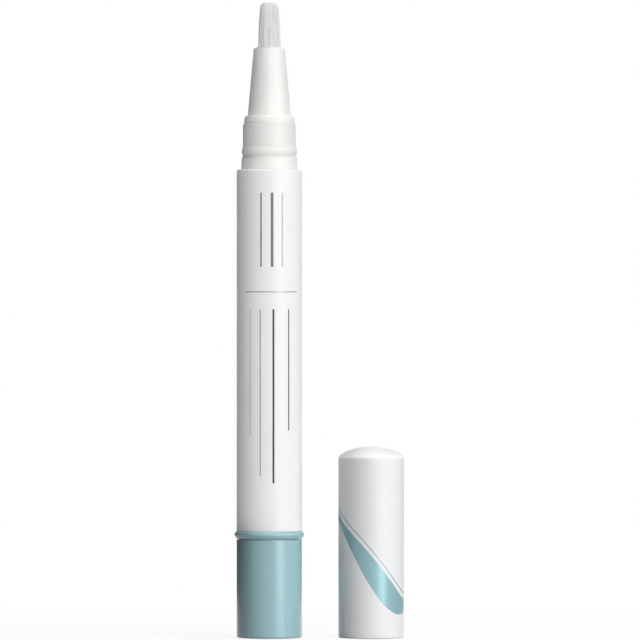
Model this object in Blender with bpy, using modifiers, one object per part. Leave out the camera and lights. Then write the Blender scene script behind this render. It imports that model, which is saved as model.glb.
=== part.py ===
"""Twist-up nail care pen, open, with its cap standing beside it.

The pen stands on its knob with its axis along +Z.  The origin is the centre of the knob's
base.  Turning the knob turns a keyed screw rod through a nut that is fixed in the barrel,
so the rod climbs and pushes the piston, and with it the liquid, towards the brush.
"""
import math

import bmesh
import bpy
from mathutils import Matrix, Vector

MM = 0.001

# Fits shared by the whole pen
PRESS_CLEARANCE = 0.05 * MM
RUNNING_CLEARANCE = 0.1 * MM
SEAT_GAP = 0.1 * MM
CUT_OVERRUN = 0.5 * MM
MERGE_DISTANCE = 0.001 * MM

# Roundness of the solids
SEGMENTS = 32
SMALL_SEGMENTS = 24
THREAD_SEGMENTS = 16
FILLET_STEPS = 2
HUMP_STEPS = 6
DOME_STEPS = 7
DOME_FULL_SHARE = 0.5
FILLET_LIMIT_SHARE = 0.45
SHARP_ANGLE = math.radians(30)

# Knob shell
KNOB_LENGTH = 18.0 * MM
KNOB_WALL = 0.9 * MM
KNOB_FLOOR = 1.2 * MM
KNOB_BASE_ROUND = 0.4 * MM
KNOB_TOP_ROUND = 0.12 * MM

# Knob core: ring that shows, spigot in the shell, journal in the barrel
RING_HEIGHT = 1.5 * MM
RING_RISE = 0.4 * MM
CORE_WALL = 0.9 * MM
HEX_LENGTH = 4.0 * MM
BARB_HEIGHT = 1.1 * MM
BARB_RISE = 0.25 * MM

# Barrel
BARREL_DIAMETER = 12.0 * MM
BARREL_LENGTH = 66.4 * MM
BARREL_WALL = 1.0 * MM
BARREL_REAR_RELIEF = 0.1 * MM
BARREL_EDGE_ROUND = 0.22 * MM
SNAP_RISE = 0.15 * MM
SNAP_HEIGHT = 0.8 * MM

# Tail bush
BUSH_LENGTH = 4.9 * MM
BUSH_WALL = 0.7 * MM

# Screw rod
ROD_SHARE = 0.4356
THREAD_PITCH = 3.0 * MM
THREAD_DEPTH_SHARE = 0.25
THREAD_BASE_SHARE = 0.5
THREAD_CREST_SHARE = 0.26
THREAD_PHASE_SHARE = 0.3
ROD_FLAT_SHARE = 0.68
ROD_END_GAP = 0.6 * MM
ROD_NECK_SHARE = 0.57
ROD_HEAD_SHARE = 0.84
ROD_HEAD_TIP_SHARE = 0.55
ROD_HEAD_HEIGHT = 1.3 * MM

# Screw nut with its ratchet skirt
NUT_LENGTH = 6.0 * MM
THREAD_CLEARANCE = 0.12 * MM
SKIRT_LENGTH = 4.6 * MM
SKIRT_WALL_SHARE = 0.0693
RATCHET_TEETH = 24
TOOTH_DEPTH_SHARE = 0.0594
TOOTH_FACE_SHARE = 0.06
TOOTH_PHASE_SHARE = 0.3
TOOTH_LAND = 0.3 * MM

# Drive sleeve
SLEEVE_WALL_SHARE = 0.261
SLEEVE_FLANGE_HEIGHT = 1.2 * MM
SLEEVE_END_GAP = 0.4 * MM
SLEEVE_FLAT_SHARE = 0.9
KEY_HOLD = 3.6 * MM
HEX_CORNER_SHARE = 0.95

# Ratchet pawl, as shares of the space between the sleeve and the teeth
PAWL_ARMS = 3
PAWL_THICKNESS = 2.6 * MM
PAWL_HUB_SHARE = 0.3
PAWL_ARM_INNER_SHARE = 0.5
PAWL_ARM_OUTER_SHARE = 0.76
PAWL_ROOT_SHARE = 0.16
PAWL_REACH_SHARE = 0.78
PAWL_HOOK_SHARE = 0.05
PAWL_ARC_STEPS = 9

# Piston and its seal
PISTON_LENGTH = 6.0 * MM
PISTON_REAR_GAP = 0.5 * MM
PISTON_END_GAP = 0.2 * MM
PISTON_FLANGE = 1.2 * MM
PISTON_GROOVE_DEPTH = 0.9 * MM
PISTON_NOSE_HEIGHT = 0.8 * MM
PISTON_NOSE_SHARE = 0.6
PISTON_ROUND = 0.2 * MM
PISTON_SIDE_GAP = 0.15 * MM
THROAT_LENGTH = 0.9 * MM
SEAL_WAIST_DEPTH = 0.35 * MM

# Neck fitment
PLUG_LENGTH = 3.6 * MM
COLLAR_HEIGHT = 2.25 * MM
COLLAR_LIP = 0.14 * MM
COLLAR_TAPER = 0.06 * MM
COLLAR_ROUND = 0.25 * MM
SNAP_BEAD_HEIGHT = 1.95 * MM
SNAP_BEAD_RISE = 0.26 * MM
GROOVE_SINK = 0.04 * MM
GROOVE_HEIGHT = 0.2 * MM
NECK_INSET = 0.14 * MM
NECK_HEIGHT = 4.0 * MM
NECK_WALL_SHARE = 0.1955
NECK_ROUND = 0.15 * MM

# Neck seal
NECK_RING_THICKNESS = 0.66 * MM
NECK_RING_SEGMENTS = 8

# Nozzle
NOZZLE_FLANGE_HEIGHT = 1.6 * MM
NOZZLE_FLANGE_INSET = 0.2 * MM
NOZZLE_FLANGE_TAPER = 0.11 * MM
NOZZLE_FLANGE_ROUND = 0.25 * MM
NOZZLE_LEDGE = 0.57 * MM
NOZZLE_LENGTH = 12.6 * MM
NOZZLE_RIM = 0.7 * MM
NOZZLE_RIM_ROUND = 0.35 * MM
NOZZLE_SEAT_DEPTH = 3.8 * MM
NOZZLE_SPIGOT_LENGTH = 5.0 * MM
NOZZLE_SPIGOT_WALL_SHARE = 0.2876

# Brush
BRUSH_REACH = 8.2 * MM
BRUSH_SEAT_SHARE = 0.185
BRUSH_BACKING = 1.2 * MM
BRUSH_TIP_SHARE = 0.87
BRUSH_ROUND_SHARE = 0.7
BRUSH_ROUND_DROP = 2.2 * MM
STRAND_COUNT = 350
STRAND_ROOT_SHARE = 1.44
STRAND_TIP_SHARE = 1.03
STRAND_SIDES = 3
STRAND_ROOTING_SHARE = 0.5
SPIRAL_ANGLE = math.pi * (3 - math.sqrt(5))

# Feed pipe and the plug that holds it
PIPE_DIAMETER = 0.8 * MM
PIPE_WALL = 0.15 * MM
PIPE_REACH = 1.5 * MM
PIPE_TAIL = 1.0 * MM
PLUG_FLANGE_HEIGHT = 1.0 * MM
PLUG_FLANGE_GAP = 0.4 * MM

# Cap and its liner
CAP_WALL = 0.82 * MM
CAP_FIT = 0.07 * MM
CAP_DOME = 2.2 * MM
CAP_ROOF = 1.0 * MM
CAP_INNER_DOME_SHARE = 0.6
CAP_MOUTH_ROUND = 0.3 * MM
CAP_RIB_RISE = 0.15 * MM
CAP_RIB_HEIGHT = 0.6 * MM
CAP_TIP_CLEARANCE = 1.38 * MM
CAP_SPACING = 6.72 * MM
LINER_ROOF = 0.8 * MM
LINER_MOUTH_WALL = 0.54 * MM
LINER_WALL = 0.95 * MM
LINER_LEAD = 0.25 * MM
LINER_MOUTH_HEIGHT = 2.0 * MM
LINER_ROUND = 0.8 * MM

# Radii, from the barrel inwards
BARREL_RADIUS = BARREL_DIAMETER / 2
RESERVOIR_RADIUS = BARREL_RADIUS - BARREL_WALL
REAR_BORE_RADIUS = RESERVOIR_RADIUS + BARREL_REAR_RELIEF
FIXED_RADIUS = REAR_BORE_RADIUS - PRESS_CLEARANCE
JOURNAL_RADIUS = FIXED_RADIUS - BUSH_WALL - RUNNING_CLEARANCE
KNOB_BORE_RADIUS = BARREL_RADIUS - KNOB_WALL
CORE_RADIUS = KNOB_BORE_RADIUS - PRESS_CLEARANCE
COUNTERBORE_RADIUS = CORE_RADIUS - CORE_WALL

# Radii of the mechanism, shares of the bore that it works in
ROD_RADIUS = FIXED_RADIUS * ROD_SHARE
THREAD_DEPTH = ROD_RADIUS * THREAD_DEPTH_SHARE
THREAD_ROOT_RADIUS = ROD_RADIUS - THREAD_DEPTH
ROD_FLAT = ROD_RADIUS * ROD_FLAT_SHARE
SLEEVE_BORE_RADIUS = ROD_RADIUS + RUNNING_CLEARANCE
SLEEVE_FLAT = ROD_FLAT + RUNNING_CLEARANCE
SLEEVE_RADIUS = SLEEVE_BORE_RADIUS * (1 + SLEEVE_WALL_SHARE)
CORE_BORE_RADIUS = SLEEVE_RADIUS + PRESS_CLEARANCE
HEX_RADIUS = COUNTERBORE_RADIUS * HEX_CORNER_SHARE
TOOTH_ROOT_RADIUS = FIXED_RADIUS * (1 - SKIRT_WALL_SHARE)
TOOTH_TIP_RADIUS = TOOTH_ROOT_RADIUS - FIXED_RADIUS * TOOTH_DEPTH_SHARE

# Heights of what shows, from the base up
RING_BOTTOM = KNOB_LENGTH + SEAT_GAP
RING_TOP = RING_BOTTOM + RING_HEIGHT
BARREL_BOTTOM = RING_TOP + SEAT_GAP
BARREL_TOP = BARREL_BOTTOM + BARREL_LENGTH
COLLAR_BOTTOM = BARREL_TOP + PRESS_CLEARANCE
COLLAR_TOP = COLLAR_BOTTOM + COLLAR_HEIGHT
SNAP_BEAD_TOP = COLLAR_TOP + SNAP_BEAD_HEIGHT
NECK_TOP = SNAP_BEAD_TOP + NECK_HEIGHT
FLANGE_BOTTOM = NECK_TOP + PRESS_CLEARANCE
FLANGE_TOP = FLANGE_BOTTOM + NOZZLE_FLANGE_HEIGHT
NOZZLE_TOP = FLANGE_TOP + NOZZLE_LENGTH
BRUSH_TIP = NOZZLE_TOP + BRUSH_REACH

# Heights inside: the stroke is half of what the other pieces leave free
PLUG_BOTTOM = BARREL_TOP - PLUG_LENGTH
ROD_BOTTOM = KNOB_FLOOR + ROD_END_GAP
STACK_LENGTH = (KEY_HOLD + SLEEVE_END_GAP + NUT_LENGTH
                + PISTON_REAR_GAP + PISTON_LENGTH + PISTON_END_GAP)
STROKE = (PLUG_BOTTOM - ROD_BOTTOM - STACK_LENGTH) / 2
SLEEVE_TOP = ROD_BOTTOM + STROKE + KEY_HOLD
NUT_BOTTOM = SLEEVE_TOP + SLEEVE_END_GAP
NUT_TOP = NUT_BOTTOM + NUT_LENGTH
SKIRT_BOTTOM = NUT_BOTTOM - SKIRT_LENGTH
PISTON_BOTTOM = NUT_TOP + PISTON_REAR_GAP
PISTON_TOP = PISTON_BOTTOM + PISTON_LENGTH
BUSH_TOP = BARREL_BOTTOM + BUSH_LENGTH
BARB_BOTTOM = BUSH_TOP + SEAT_GAP
HEX_BOTTOM = KNOB_LENGTH - HEX_LENGTH

# Radii of the neck, the nozzle and the brush
PLUG_RADIUS = RESERVOIR_RADIUS - PRESS_CLEARANCE
NECK_RADIUS = RESERVOIR_RADIUS - NECK_INSET
COLLAR_RADIUS = RESERVOIR_RADIUS + COLLAR_LIP
GROOVE_RADIUS = NECK_RADIUS - GROOVE_SINK
SNAP_BEAD_RADIUS = NECK_RADIUS + SNAP_BEAD_RISE
NECK_BORE_RADIUS = NECK_RADIUS * (1 - NECK_WALL_SHARE)
FLANGE_RADIUS = NECK_RADIUS - NOZZLE_FLANGE_INSET
FLANGE_TOP_RADIUS = FLANGE_RADIUS - NOZZLE_FLANGE_TAPER
CONE_RADIUS = FLANGE_TOP_RADIUS - NOZZLE_LEDGE
SPIGOT_RADIUS = NECK_BORE_RADIUS - PRESS_CLEARANCE
NOZZLE_BORE_RADIUS = SPIGOT_RADIUS * (1 - NOZZLE_SPIGOT_WALL_SHARE)
BACKING_RADIUS = NOZZLE_BORE_RADIUS - PRESS_CLEARANCE
MOUTH_RADIUS = BACKING_RADIUS * (1 - BRUSH_SEAT_SHARE)
BRUSH_RADIUS = MOUTH_RADIUS - PRESS_CLEARANCE
NOZZLE_TIP_RADIUS = MOUTH_RADIUS + NOZZLE_RIM
PIPE_RADIUS = PIPE_DIAMETER / 2
PIPE_HOLE_RADIUS = PIPE_RADIUS + PRESS_CLEARANCE

# Heights of the brush's seat and of the plug below it
BRUSH_SEAT_LEVEL = NOZZLE_TOP - NOZZLE_SEAT_DEPTH
BACKING_TOP = BRUSH_SEAT_LEVEL - PRESS_CLEARANCE
BACKING_BOTTOM = BACKING_TOP - BRUSH_BACKING
SPIGOT_BOTTOM = NECK_TOP - NOZZLE_SPIGOT_LENGTH
FEED_PLUG_TOP = BACKING_BOTTOM - PRESS_CLEARANCE
FEED_FLANGE_TOP = SPIGOT_BOTTOM - PRESS_CLEARANCE
FEED_PLUG_BOTTOM = FEED_FLANGE_TOP - PLUG_FLANGE_HEIGHT

# The cap is as long as what it covers
COVERED_LENGTH = BRUSH_TIP - BARREL_TOP
CAP_BORE_RADIUS = SNAP_BEAD_RADIUS + CAP_FIT
CAP_RADIUS = CAP_BORE_RADIUS + CAP_WALL
CAP_INNER_DOME = CAP_DOME * CAP_INNER_DOME_SHARE
LINER_TOP = COVERED_LENGTH + CAP_TIP_CLEARANCE + LINER_ROOF
CAP_SPRING_LINE = LINER_TOP + SEAT_GAP
CAP_HEIGHT = CAP_SPRING_LINE + CAP_INNER_DOME + CAP_ROOF
CAP_PLACE = BARREL_RADIUS + CAP_SPACING + CAP_RADIUS

# Finishes: linear colour, roughness and metallic value
WHITE_GLOSS = ("white_gloss_plastic", (0.86, 0.86, 0.85), 0.22, 0)
TEAL_GLOSS = ("teal_gloss_plastic", (0.3, 0.46, 0.5), 0.25, 0)
WARM_WHITE = ("warm_white_plastic", (0.82, 0.82, 0.79), 0.35, 0)
NATURAL_WHITE = ("natural_white_plastic", (0.74, 0.73, 0.68), 0.45, 0)
SOFT_RUBBER = ("soft_rubber", (0.08, 0.08, 0.09), 0.6, 0)
BRISTLE_WHITE = ("bristle_white", (0.7, 0.69, 0.66), 0.5, 0)


def clear_scene():
    """Remove every object that the file opened with."""
    for stale in list(bpy.data.objects):
        bpy.data.objects.remove(stale, do_unlink=True)


def new_collection(name):
    """A collection linked under the scene's own."""
    collection = bpy.data.collections.new(name)
    bpy.context.scene.collection.children.link(collection)
    return collection


def finish_material(finish):
    """The Principled material of a finish, made once."""
    name, colour, roughness, metallic = finish
    material = bpy.data.materials.get(name)
    if material is None:
        material = bpy.data.materials.new(name)
        material.use_nodes = True
        shader = material.node_tree.nodes["Principled BSDF"]
        shader.inputs["Base Color"].default_value = (*colour, 1)
        shader.inputs["Roughness"].default_value = roughness
        shader.inputs["Metallic"].default_value = metallic
        material.diffuse_color = (*colour, 1)
    return material


def rounded(outline, closed):
    """Points of an outline of (radius, height, fillet) corners, with its fillets as arcs."""
    points = []
    last = len(outline) - 1
    for index, (radius, height, fillet) in enumerate(outline):
        corner = Vector((radius, height))
        if fillet == 0 or (not closed and index in (0, last)):
            points.append(corner)
            continue
        before = Vector(outline[index - 1][:2]) - corner
        after = Vector(outline[(index + 1) % len(outline)][:2]) - corner
        half_angle = before.angle(after) / 2
        room = min(before.length, after.length) * FILLET_LIMIT_SHARE
        reach = min(fillet / math.tan(half_angle), room)
        middle = (before.normalized() + after.normalized()).normalized()
        centre = corner + middle * (reach / math.cos(half_angle))
        start = corner + before.normalized() * reach - centre
        end = corner + after.normalized() * reach - centre
        for step in range(FILLET_STEPS + 1):
            share = step / FILLET_STEPS
            spoke = start.lerp(end, share)
            points.append(centre + spoke.normalized() * start.length)
    return points


def hump(lower, upper, rise):
    """Corners of a rounded swelling, from its upper to its lower (radius, height) end."""
    corners = []
    for step in range(HUMP_STEPS + 1):
        share = step / HUMP_STEPS
        radius = upper[0] + (lower[0] - upper[0]) * share
        height = upper[1] + (lower[1] - upper[1]) * share
        corners.append((radius + rise * math.sin(math.pi * share), height, 0))
    return corners


def snap(radius, rise, middle):
    """Corners of a low snap bead or groove, from its lower to its upper end."""
    half = SNAP_HEIGHT / 2
    return [(radius, middle - half, 0), (radius + rise, middle, 0), (radius, middle + half, 0)]


def dome(radius, base, rise):
    """Corners of a dome between an ellipse and an arc, from the axis down to its rim."""
    corners = [(0, base + rise, 0)]
    for step in range(1, DOME_STEPS + 1):
        angle = math.pi / 2 * (1 - step / DOME_STEPS)
        swell = math.sin(angle)
        height = rise * swell * (DOME_FULL_SHARE + (1 - DOME_FULL_SHARE) * swell)
        corners.append((radius * math.cos(angle), base + height, 0))
    return corners


def circle(radius, sides):
    """Points of a regular polygon."""
    turns = [math.tau * index / sides for index in range(sides)]
    return [(radius * math.cos(turn), radius * math.sin(turn)) for turn in turns]


def double_d(radius, flat):
    """A circle with two flats square to Y."""
    reach = math.asin(flat / radius)
    half = THREAD_SEGMENTS // 2
    points = []
    for start in (-reach, math.pi - reach):
        for step in range(half + 1):
            turn = start + 2 * reach * step / half
            points.append((radius * math.cos(turn), radius * math.sin(turn)))
    return points


def link(name, mesh, collection, finish):
    """An object of a mesh in a collection; cutters take no finish."""
    piece = bpy.data.objects.new(name, mesh)
    collection.objects.link(piece)
    if finish is None:
        piece.hide_render = True
        piece.display_type = 'WIRE'
    else:
        mesh.materials.append(finish_material(finish))
    return piece


def turned(name, outline, collection, finish=None, segments=SEGMENTS):
    """A turned solid: an outline that runs down its outer side, turned by a Screw modifier."""
    base = min(height for radius, height, fillet in outline)
    closed = outline[0][0] > 0
    points = rounded(outline, closed)
    edges = [(index, index + 1) for index in range(len(points) - 1)]
    if closed:
        edges.append((len(points) - 1, 0))
    mesh = bpy.data.meshes.new(name)
    mesh.from_pydata([(point.x, 0, point.y - base) for point in points], edges, [])
    piece = link(name, mesh, collection, finish)
    piece.location.z = base
    screw = piece.modifiers.new("Turn", 'SCREW')
    screw.steps = segments
    screw.render_steps = segments
    screw.use_merge_vertices = True
    screw.merge_threshold = MERGE_DISTANCE
    return piece


def evaluated_mesh(piece):
    """The mesh that an object shows with its modifiers."""
    bpy.context.view_layer.update()
    depsgraph = bpy.context.evaluated_depsgraph_get()
    return bpy.data.meshes.new_from_object(piece.evaluated_get(depsgraph))


def prism(name, outlines, bottom, top, collection, finish=None):
    """Closed flat outlines, the first round the others as holes, drawn up between two heights."""
    curve = bpy.data.curves.new(name, 'CURVE')
    curve.dimensions = '2D'
    curve.fill_mode = 'BOTH'
    curve.extrude = (top - bottom) / 2
    for outline in outlines:
        spline = curve.splines.new('POLY')
        spline.points.add(len(outline) - 1)
        for point, (x, y) in zip(spline.points, outline):
            point.co = (x, y, 0, 1)
        spline.use_cyclic_u = True
    drawn = bpy.data.objects.new(name + "_outline", curve)
    collection.objects.link(drawn)
    drawn.location.z = (bottom + top) / 2
    mesh = evaluated_mesh(drawn)
    mesh.name = name
    tidy = bmesh.new()
    tidy.from_mesh(mesh)
    bmesh.ops.remove_doubles(tidy, verts=tidy.verts, dist=MERGE_DISTANCE)
    bmesh.ops.recalc_face_normals(tidy, faces=tidy.faces)
    tidy.to_mesh(mesh)
    tidy.free()
    mesh.materials.clear()
    piece = link(name, mesh, collection, finish)
    piece.matrix_world = drawn.matrix_world
    bpy.data.objects.remove(drawn, do_unlink=True)
    return piece


def thread_ridge(name, root, crest, root_width, crest_width, start, turns, collection):
    """A right-hand helical ridge: a trapezium swept up by a Screw modifier, its ends closed."""
    corners = [(crest, crest_width / 2), (crest, -crest_width / 2),
               (root, -root_width / 2), (root, root_width / 2)]
    mesh = bpy.data.meshes.new(name)
    mesh.from_pydata([(x, 0, z) for x, z in corners], [(0, 1), (1, 2), (2, 3), (3, 0)], [])
    ridge = link(name, mesh, collection, None)
    ridge.location.z = start
    ridge.rotation_euler.z = math.tau / THREAD_SEGMENTS * THREAD_PHASE_SHARE
    screw = ridge.modifiers.new("Helix", 'SCREW')
    screw.screw_offset = THREAD_PITCH
    screw.iterations = turns
    screw.steps = THREAD_SEGMENTS
    screw.render_steps = THREAD_SEGMENTS
    ridge.data = evaluated_mesh(ridge)
    ridge.modifiers.clear()
    closing = bmesh.new()
    closing.from_mesh(ridge.data)
    bmesh.ops.holes_fill(closing, edges=closing.edges, sides=len(corners))
    bmesh.ops.recalc_face_normals(closing, faces=closing.faces)
    closing.to_mesh(ridge.data)
    closing.free()
    return ridge


def box(name, size, centre, collection):
    """A box cutter."""
    mesh = bpy.data.meshes.new(name)
    block = bmesh.new()
    bmesh.ops.create_cube(block, size=1, matrix=Matrix.Diagonal((*size, 1)))
    block.to_mesh(mesh)
    block.free()
    piece = link(name, mesh, collection, None)
    piece.location = centre
    return piece


def combine(piece, other, operation):
    """A Boolean modifier with another object."""
    boolean = piece.modifiers.new(operation.title(), 'BOOLEAN')
    boolean.operation = operation
    boolean.object = other


def cut_flats(piece, flat, radius, bottom, top, cutters):
    """Two flats square to Y, cut beside the axis between two heights."""
    for side in (-1, 1):
        width = radius - flat + CUT_OVERRUN
        size = (2 * radius + CUT_OVERRUN, width, top - bottom)
        centre = (0, side * (flat + width / 2), (bottom + top) / 2)
        name = f"{piece.name}_flat_{'left' if side < 0 else 'right'}"
        combine(piece, box(name, size, centre, cutters), 'DIFFERENCE')


def make_barrel(parts):
    """White tube: rear bore for the mechanism, reservoir bore above the nut."""
    bush_snap = snap(REAR_BORE_RADIUS, SNAP_RISE, BARREL_BOTTOM + BUSH_LENGTH / 2)
    nut_snap = snap(REAR_BORE_RADIUS, SNAP_RISE, NUT_BOTTOM + NUT_LENGTH / 2)
    shoulder = NUT_TOP + SEAT_GAP
    outline = [(RESERVOIR_RADIUS, BARREL_TOP, 0),
               (BARREL_RADIUS, BARREL_TOP, BARREL_EDGE_ROUND),
               (BARREL_RADIUS, BARREL_BOTTOM, BARREL_EDGE_ROUND),
               (REAR_BORE_RADIUS, BARREL_BOTTOM, 0),
               *bush_snap, *nut_snap,
               (REAR_BORE_RADIUS, shoulder, 0),
               (RESERVOIR_RADIUS, shoulder, 0)]
    return turned("barrel", outline, parts, WHITE_GLOSS)


def make_tail_bush(parts):
    """Bush pressed into the barrel's rear; the knob core's journal turns in it."""
    bore = JOURNAL_RADIUS + RUNNING_CLEARANCE
    bottom = BARREL_BOTTOM + SEAT_GAP
    outer = snap(FIXED_RADIUS, SNAP_RISE, BARREL_BOTTOM + BUSH_LENGTH / 2)
    outline = [(bore, BUSH_TOP, 0), (FIXED_RADIUS, BUSH_TOP, 0),
               *reversed(outer),
               (FIXED_RADIUS, bottom, 0), (bore, bottom, 0)]
    return turned("tail_bush", outline, parts, NATURAL_WHITE)


def make_knob_shell(parts):
    """Teal cup that the fingers turn; the pen stands on its flat base."""
    outline = [(0, KNOB_FLOOR, 0),
               (KNOB_BORE_RADIUS, KNOB_FLOOR, 0),
               (KNOB_BORE_RADIUS, KNOB_LENGTH, 0),
               (BARREL_RADIUS, KNOB_LENGTH, KNOB_TOP_ROUND),
               (BARREL_RADIUS, 0, KNOB_BASE_ROUND),
               (0, 0, 0)]
    return turned("knob_shell", outline, parts, TEAL_GLOSS)


def make_knob_core(parts, cutters):
    """Teal ring with a spigot in the knob shell and a barbed journal in the tail bush."""
    bottom = KNOB_FLOOR + SEAT_GAP
    barb_top = BARB_BOTTOM + BARB_HEIGHT
    ring = hump((BARREL_RADIUS, RING_BOTTOM), (BARREL_RADIUS, RING_TOP), RING_RISE)
    outline = [(CORE_BORE_RADIUS, barb_top, 0),
               (JOURNAL_RADIUS, barb_top, 0),
               (JOURNAL_RADIUS + BARB_RISE, BARB_BOTTOM, 0),
               (JOURNAL_RADIUS, BARB_BOTTOM, 0),
               (JOURNAL_RADIUS, RING_TOP, 0),
               *ring,
               (CORE_RADIUS, RING_BOTTOM, 0),
               (CORE_RADIUS, bottom, 0),
               (COUNTERBORE_RADIUS, bottom, 0),
               (COUNTERBORE_RADIUS, HEX_BOTTOM, 0),
               (CORE_BORE_RADIUS, HEX_BOTTOM, 0)]
    core = turned("knob_core", outline, parts, TEAL_GLOSS)
    socket = prism("hex_socket", [circle(HEX_RADIUS, 6)],
                   HEX_BOTTOM - CUT_OVERRUN, KNOB_LENGTH, cutters)
    combine(core, socket, 'DIFFERENCE')
    return core


def make_drive_sleeve(parts, cutters):
    """Sleeve that turns with the knob and drives the rod by the flats in its bore."""
    bottom = KNOB_FLOOR + SEAT_GAP
    flange_top = bottom + SLEEVE_FLANGE_HEIGHT
    flange_radius = COUNTERBORE_RADIUS - PRESS_CLEARANCE
    outline = [(0, SLEEVE_TOP, 0),
               (SLEEVE_RADIUS, SLEEVE_TOP, 0),
               (SLEEVE_RADIUS, flange_top, 0),
               (flange_radius, flange_top, 0),
               (flange_radius, bottom, 0),
               (0, bottom, 0)]
    sleeve = turned("drive_sleeve", outline, parts, NATURAL_WHITE, SMALL_SEGMENTS)
    collar = prism("hex_collar", [circle(HEX_RADIUS - RUNNING_CLEARANCE, 6)],
                   HEX_BOTTOM + SEAT_GAP, KNOB_LENGTH - SEAT_GAP, cutters)
    combine(sleeve, collar, 'UNION')
    bore = prism("sleeve_bore", [double_d(SLEEVE_BORE_RADIUS, SLEEVE_FLAT)],
                 bottom - CUT_OVERRUN, SLEEVE_TOP + CUT_OVERRUN, cutters)
    combine(sleeve, bore, 'DIFFERENCE')
    cut_flats(sleeve, SLEEVE_RADIUS * SLEEVE_FLAT_SHARE, SLEEVE_RADIUS,
              SLEEVE_TOP - PAWL_THICKNESS, SLEEVE_TOP + CUT_OVERRUN, cutters)
    return sleeve


def pawl_outline():
    """Hub with curved spring arms whose hooked ends trail as the knob turns."""
    hub = SLEEVE_RADIUS + PRESS_CLEARANCE
    tip = TOOTH_TIP_RADIUS * math.cos(math.pi / SEGMENTS) - RUNNING_CLEARANCE
    hub_outer, arm_inner, arm_outer = (
        hub + (tip - hub) * share
        for share in (PAWL_HUB_SHARE, PAWL_ARM_INNER_SHARE, PAWL_ARM_OUTER_SHARE))
    share_turn = -math.tau / PAWL_ARMS
    runs = [(arm_outer, 0, PAWL_REACH_SHARE),
            (tip, PAWL_REACH_SHARE, PAWL_REACH_SHARE + PAWL_HOOK_SHARE),
            (arm_inner, PAWL_REACH_SHARE + PAWL_HOOK_SHARE, PAWL_ROOT_SHARE),
            (hub_outer, PAWL_ROOT_SHARE, 1)]
    points = []
    for arm in range(PAWL_ARMS):
        for radius, first, last in runs:
            steps = max(1, round(PAWL_ARC_STEPS * abs(last - first)))
            for step in range(steps + 1):
                share = first + (last - first) * step / steps
                turn = share_turn * (arm + share)
                points.append((radius * math.cos(turn), radius * math.sin(turn)))
    return points


def make_ratchet_pawl(parts):
    """Sprung pawl ring, keyed to the top of the drive sleeve inside the nut's skirt."""
    hole = double_d(SLEEVE_RADIUS + PRESS_CLEARANCE,
                    SLEEVE_RADIUS * SLEEVE_FLAT_SHARE + PRESS_CLEARANCE)
    bottom = SLEEVE_TOP - PAWL_THICKNESS + PRESS_CLEARANCE
    return prism("ratchet_pawl", [pawl_outline(), hole], bottom, SLEEVE_TOP, parts, NATURAL_WHITE)


def ratchet_outline():
    """Saw teeth: each runs inwards the way the knob turns, then drops back in a steep face."""
    pitch = math.tau / RATCHET_TEETH
    crest = TOOTH_TIP_RADIUS - PRESS_CLEARANCE
    points = []
    for tooth in range(RATCHET_TEETH):
        for radius, share in ((TOOTH_ROOT_RADIUS, 0), (crest, 1 - TOOTH_FACE_SHARE)):
            turn = pitch * (tooth + share + TOOTH_PHASE_SHARE)
            points.append((radius * math.cos(turn), radius * math.sin(turn)))
    return points


def make_screw_nut(parts, cutters):
    """Nut fixed in the barrel: the thread above, a skirt of ratchet teeth below."""
    bore = THREAD_ROOT_RADIUS + RUNNING_CLEARANCE
    outer = snap(FIXED_RADIUS, SNAP_RISE, NUT_BOTTOM + NUT_LENGTH / 2)
    outline = [(bore, NUT_TOP, 0), (FIXED_RADIUS, NUT_TOP, 0),
               *reversed(outer),
               (FIXED_RADIUS, SKIRT_BOTTOM, 0), (TOOTH_TIP_RADIUS, SKIRT_BOTTOM, 0),
               (TOOTH_TIP_RADIUS, NUT_BOTTOM, 0), (bore, NUT_BOTTOM, 0)]
    nut = turned("screw_nut", outline, parts, NATURAL_WHITE)
    teeth = prism("ratchet_teeth", [ratchet_outline()],
                  SKIRT_BOTTOM - CUT_OVERRUN, NUT_BOTTOM - TOOTH_LAND, cutters)
    combine(nut, teeth, 'DIFFERENCE')
    start = ROD_BOTTOM + THREAD_PITCH
    turns_below = math.floor((NUT_BOTTOM - start) / THREAD_PITCH) - 1
    turns = math.ceil(NUT_LENGTH / THREAD_PITCH) + 3
    wider = 2 * THREAD_CLEARANCE
    groove = thread_ridge("nut_thread", bore - THREAD_CLEARANCE, ROD_RADIUS + THREAD_CLEARANCE,
                          THREAD_PITCH * THREAD_BASE_SHARE + wider,
                          THREAD_PITCH * THREAD_CREST_SHARE + wider,
                          start + turns_below * THREAD_PITCH, turns, cutters)
    combine(nut, groove, 'DIFFERENCE')
    return nut


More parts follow.
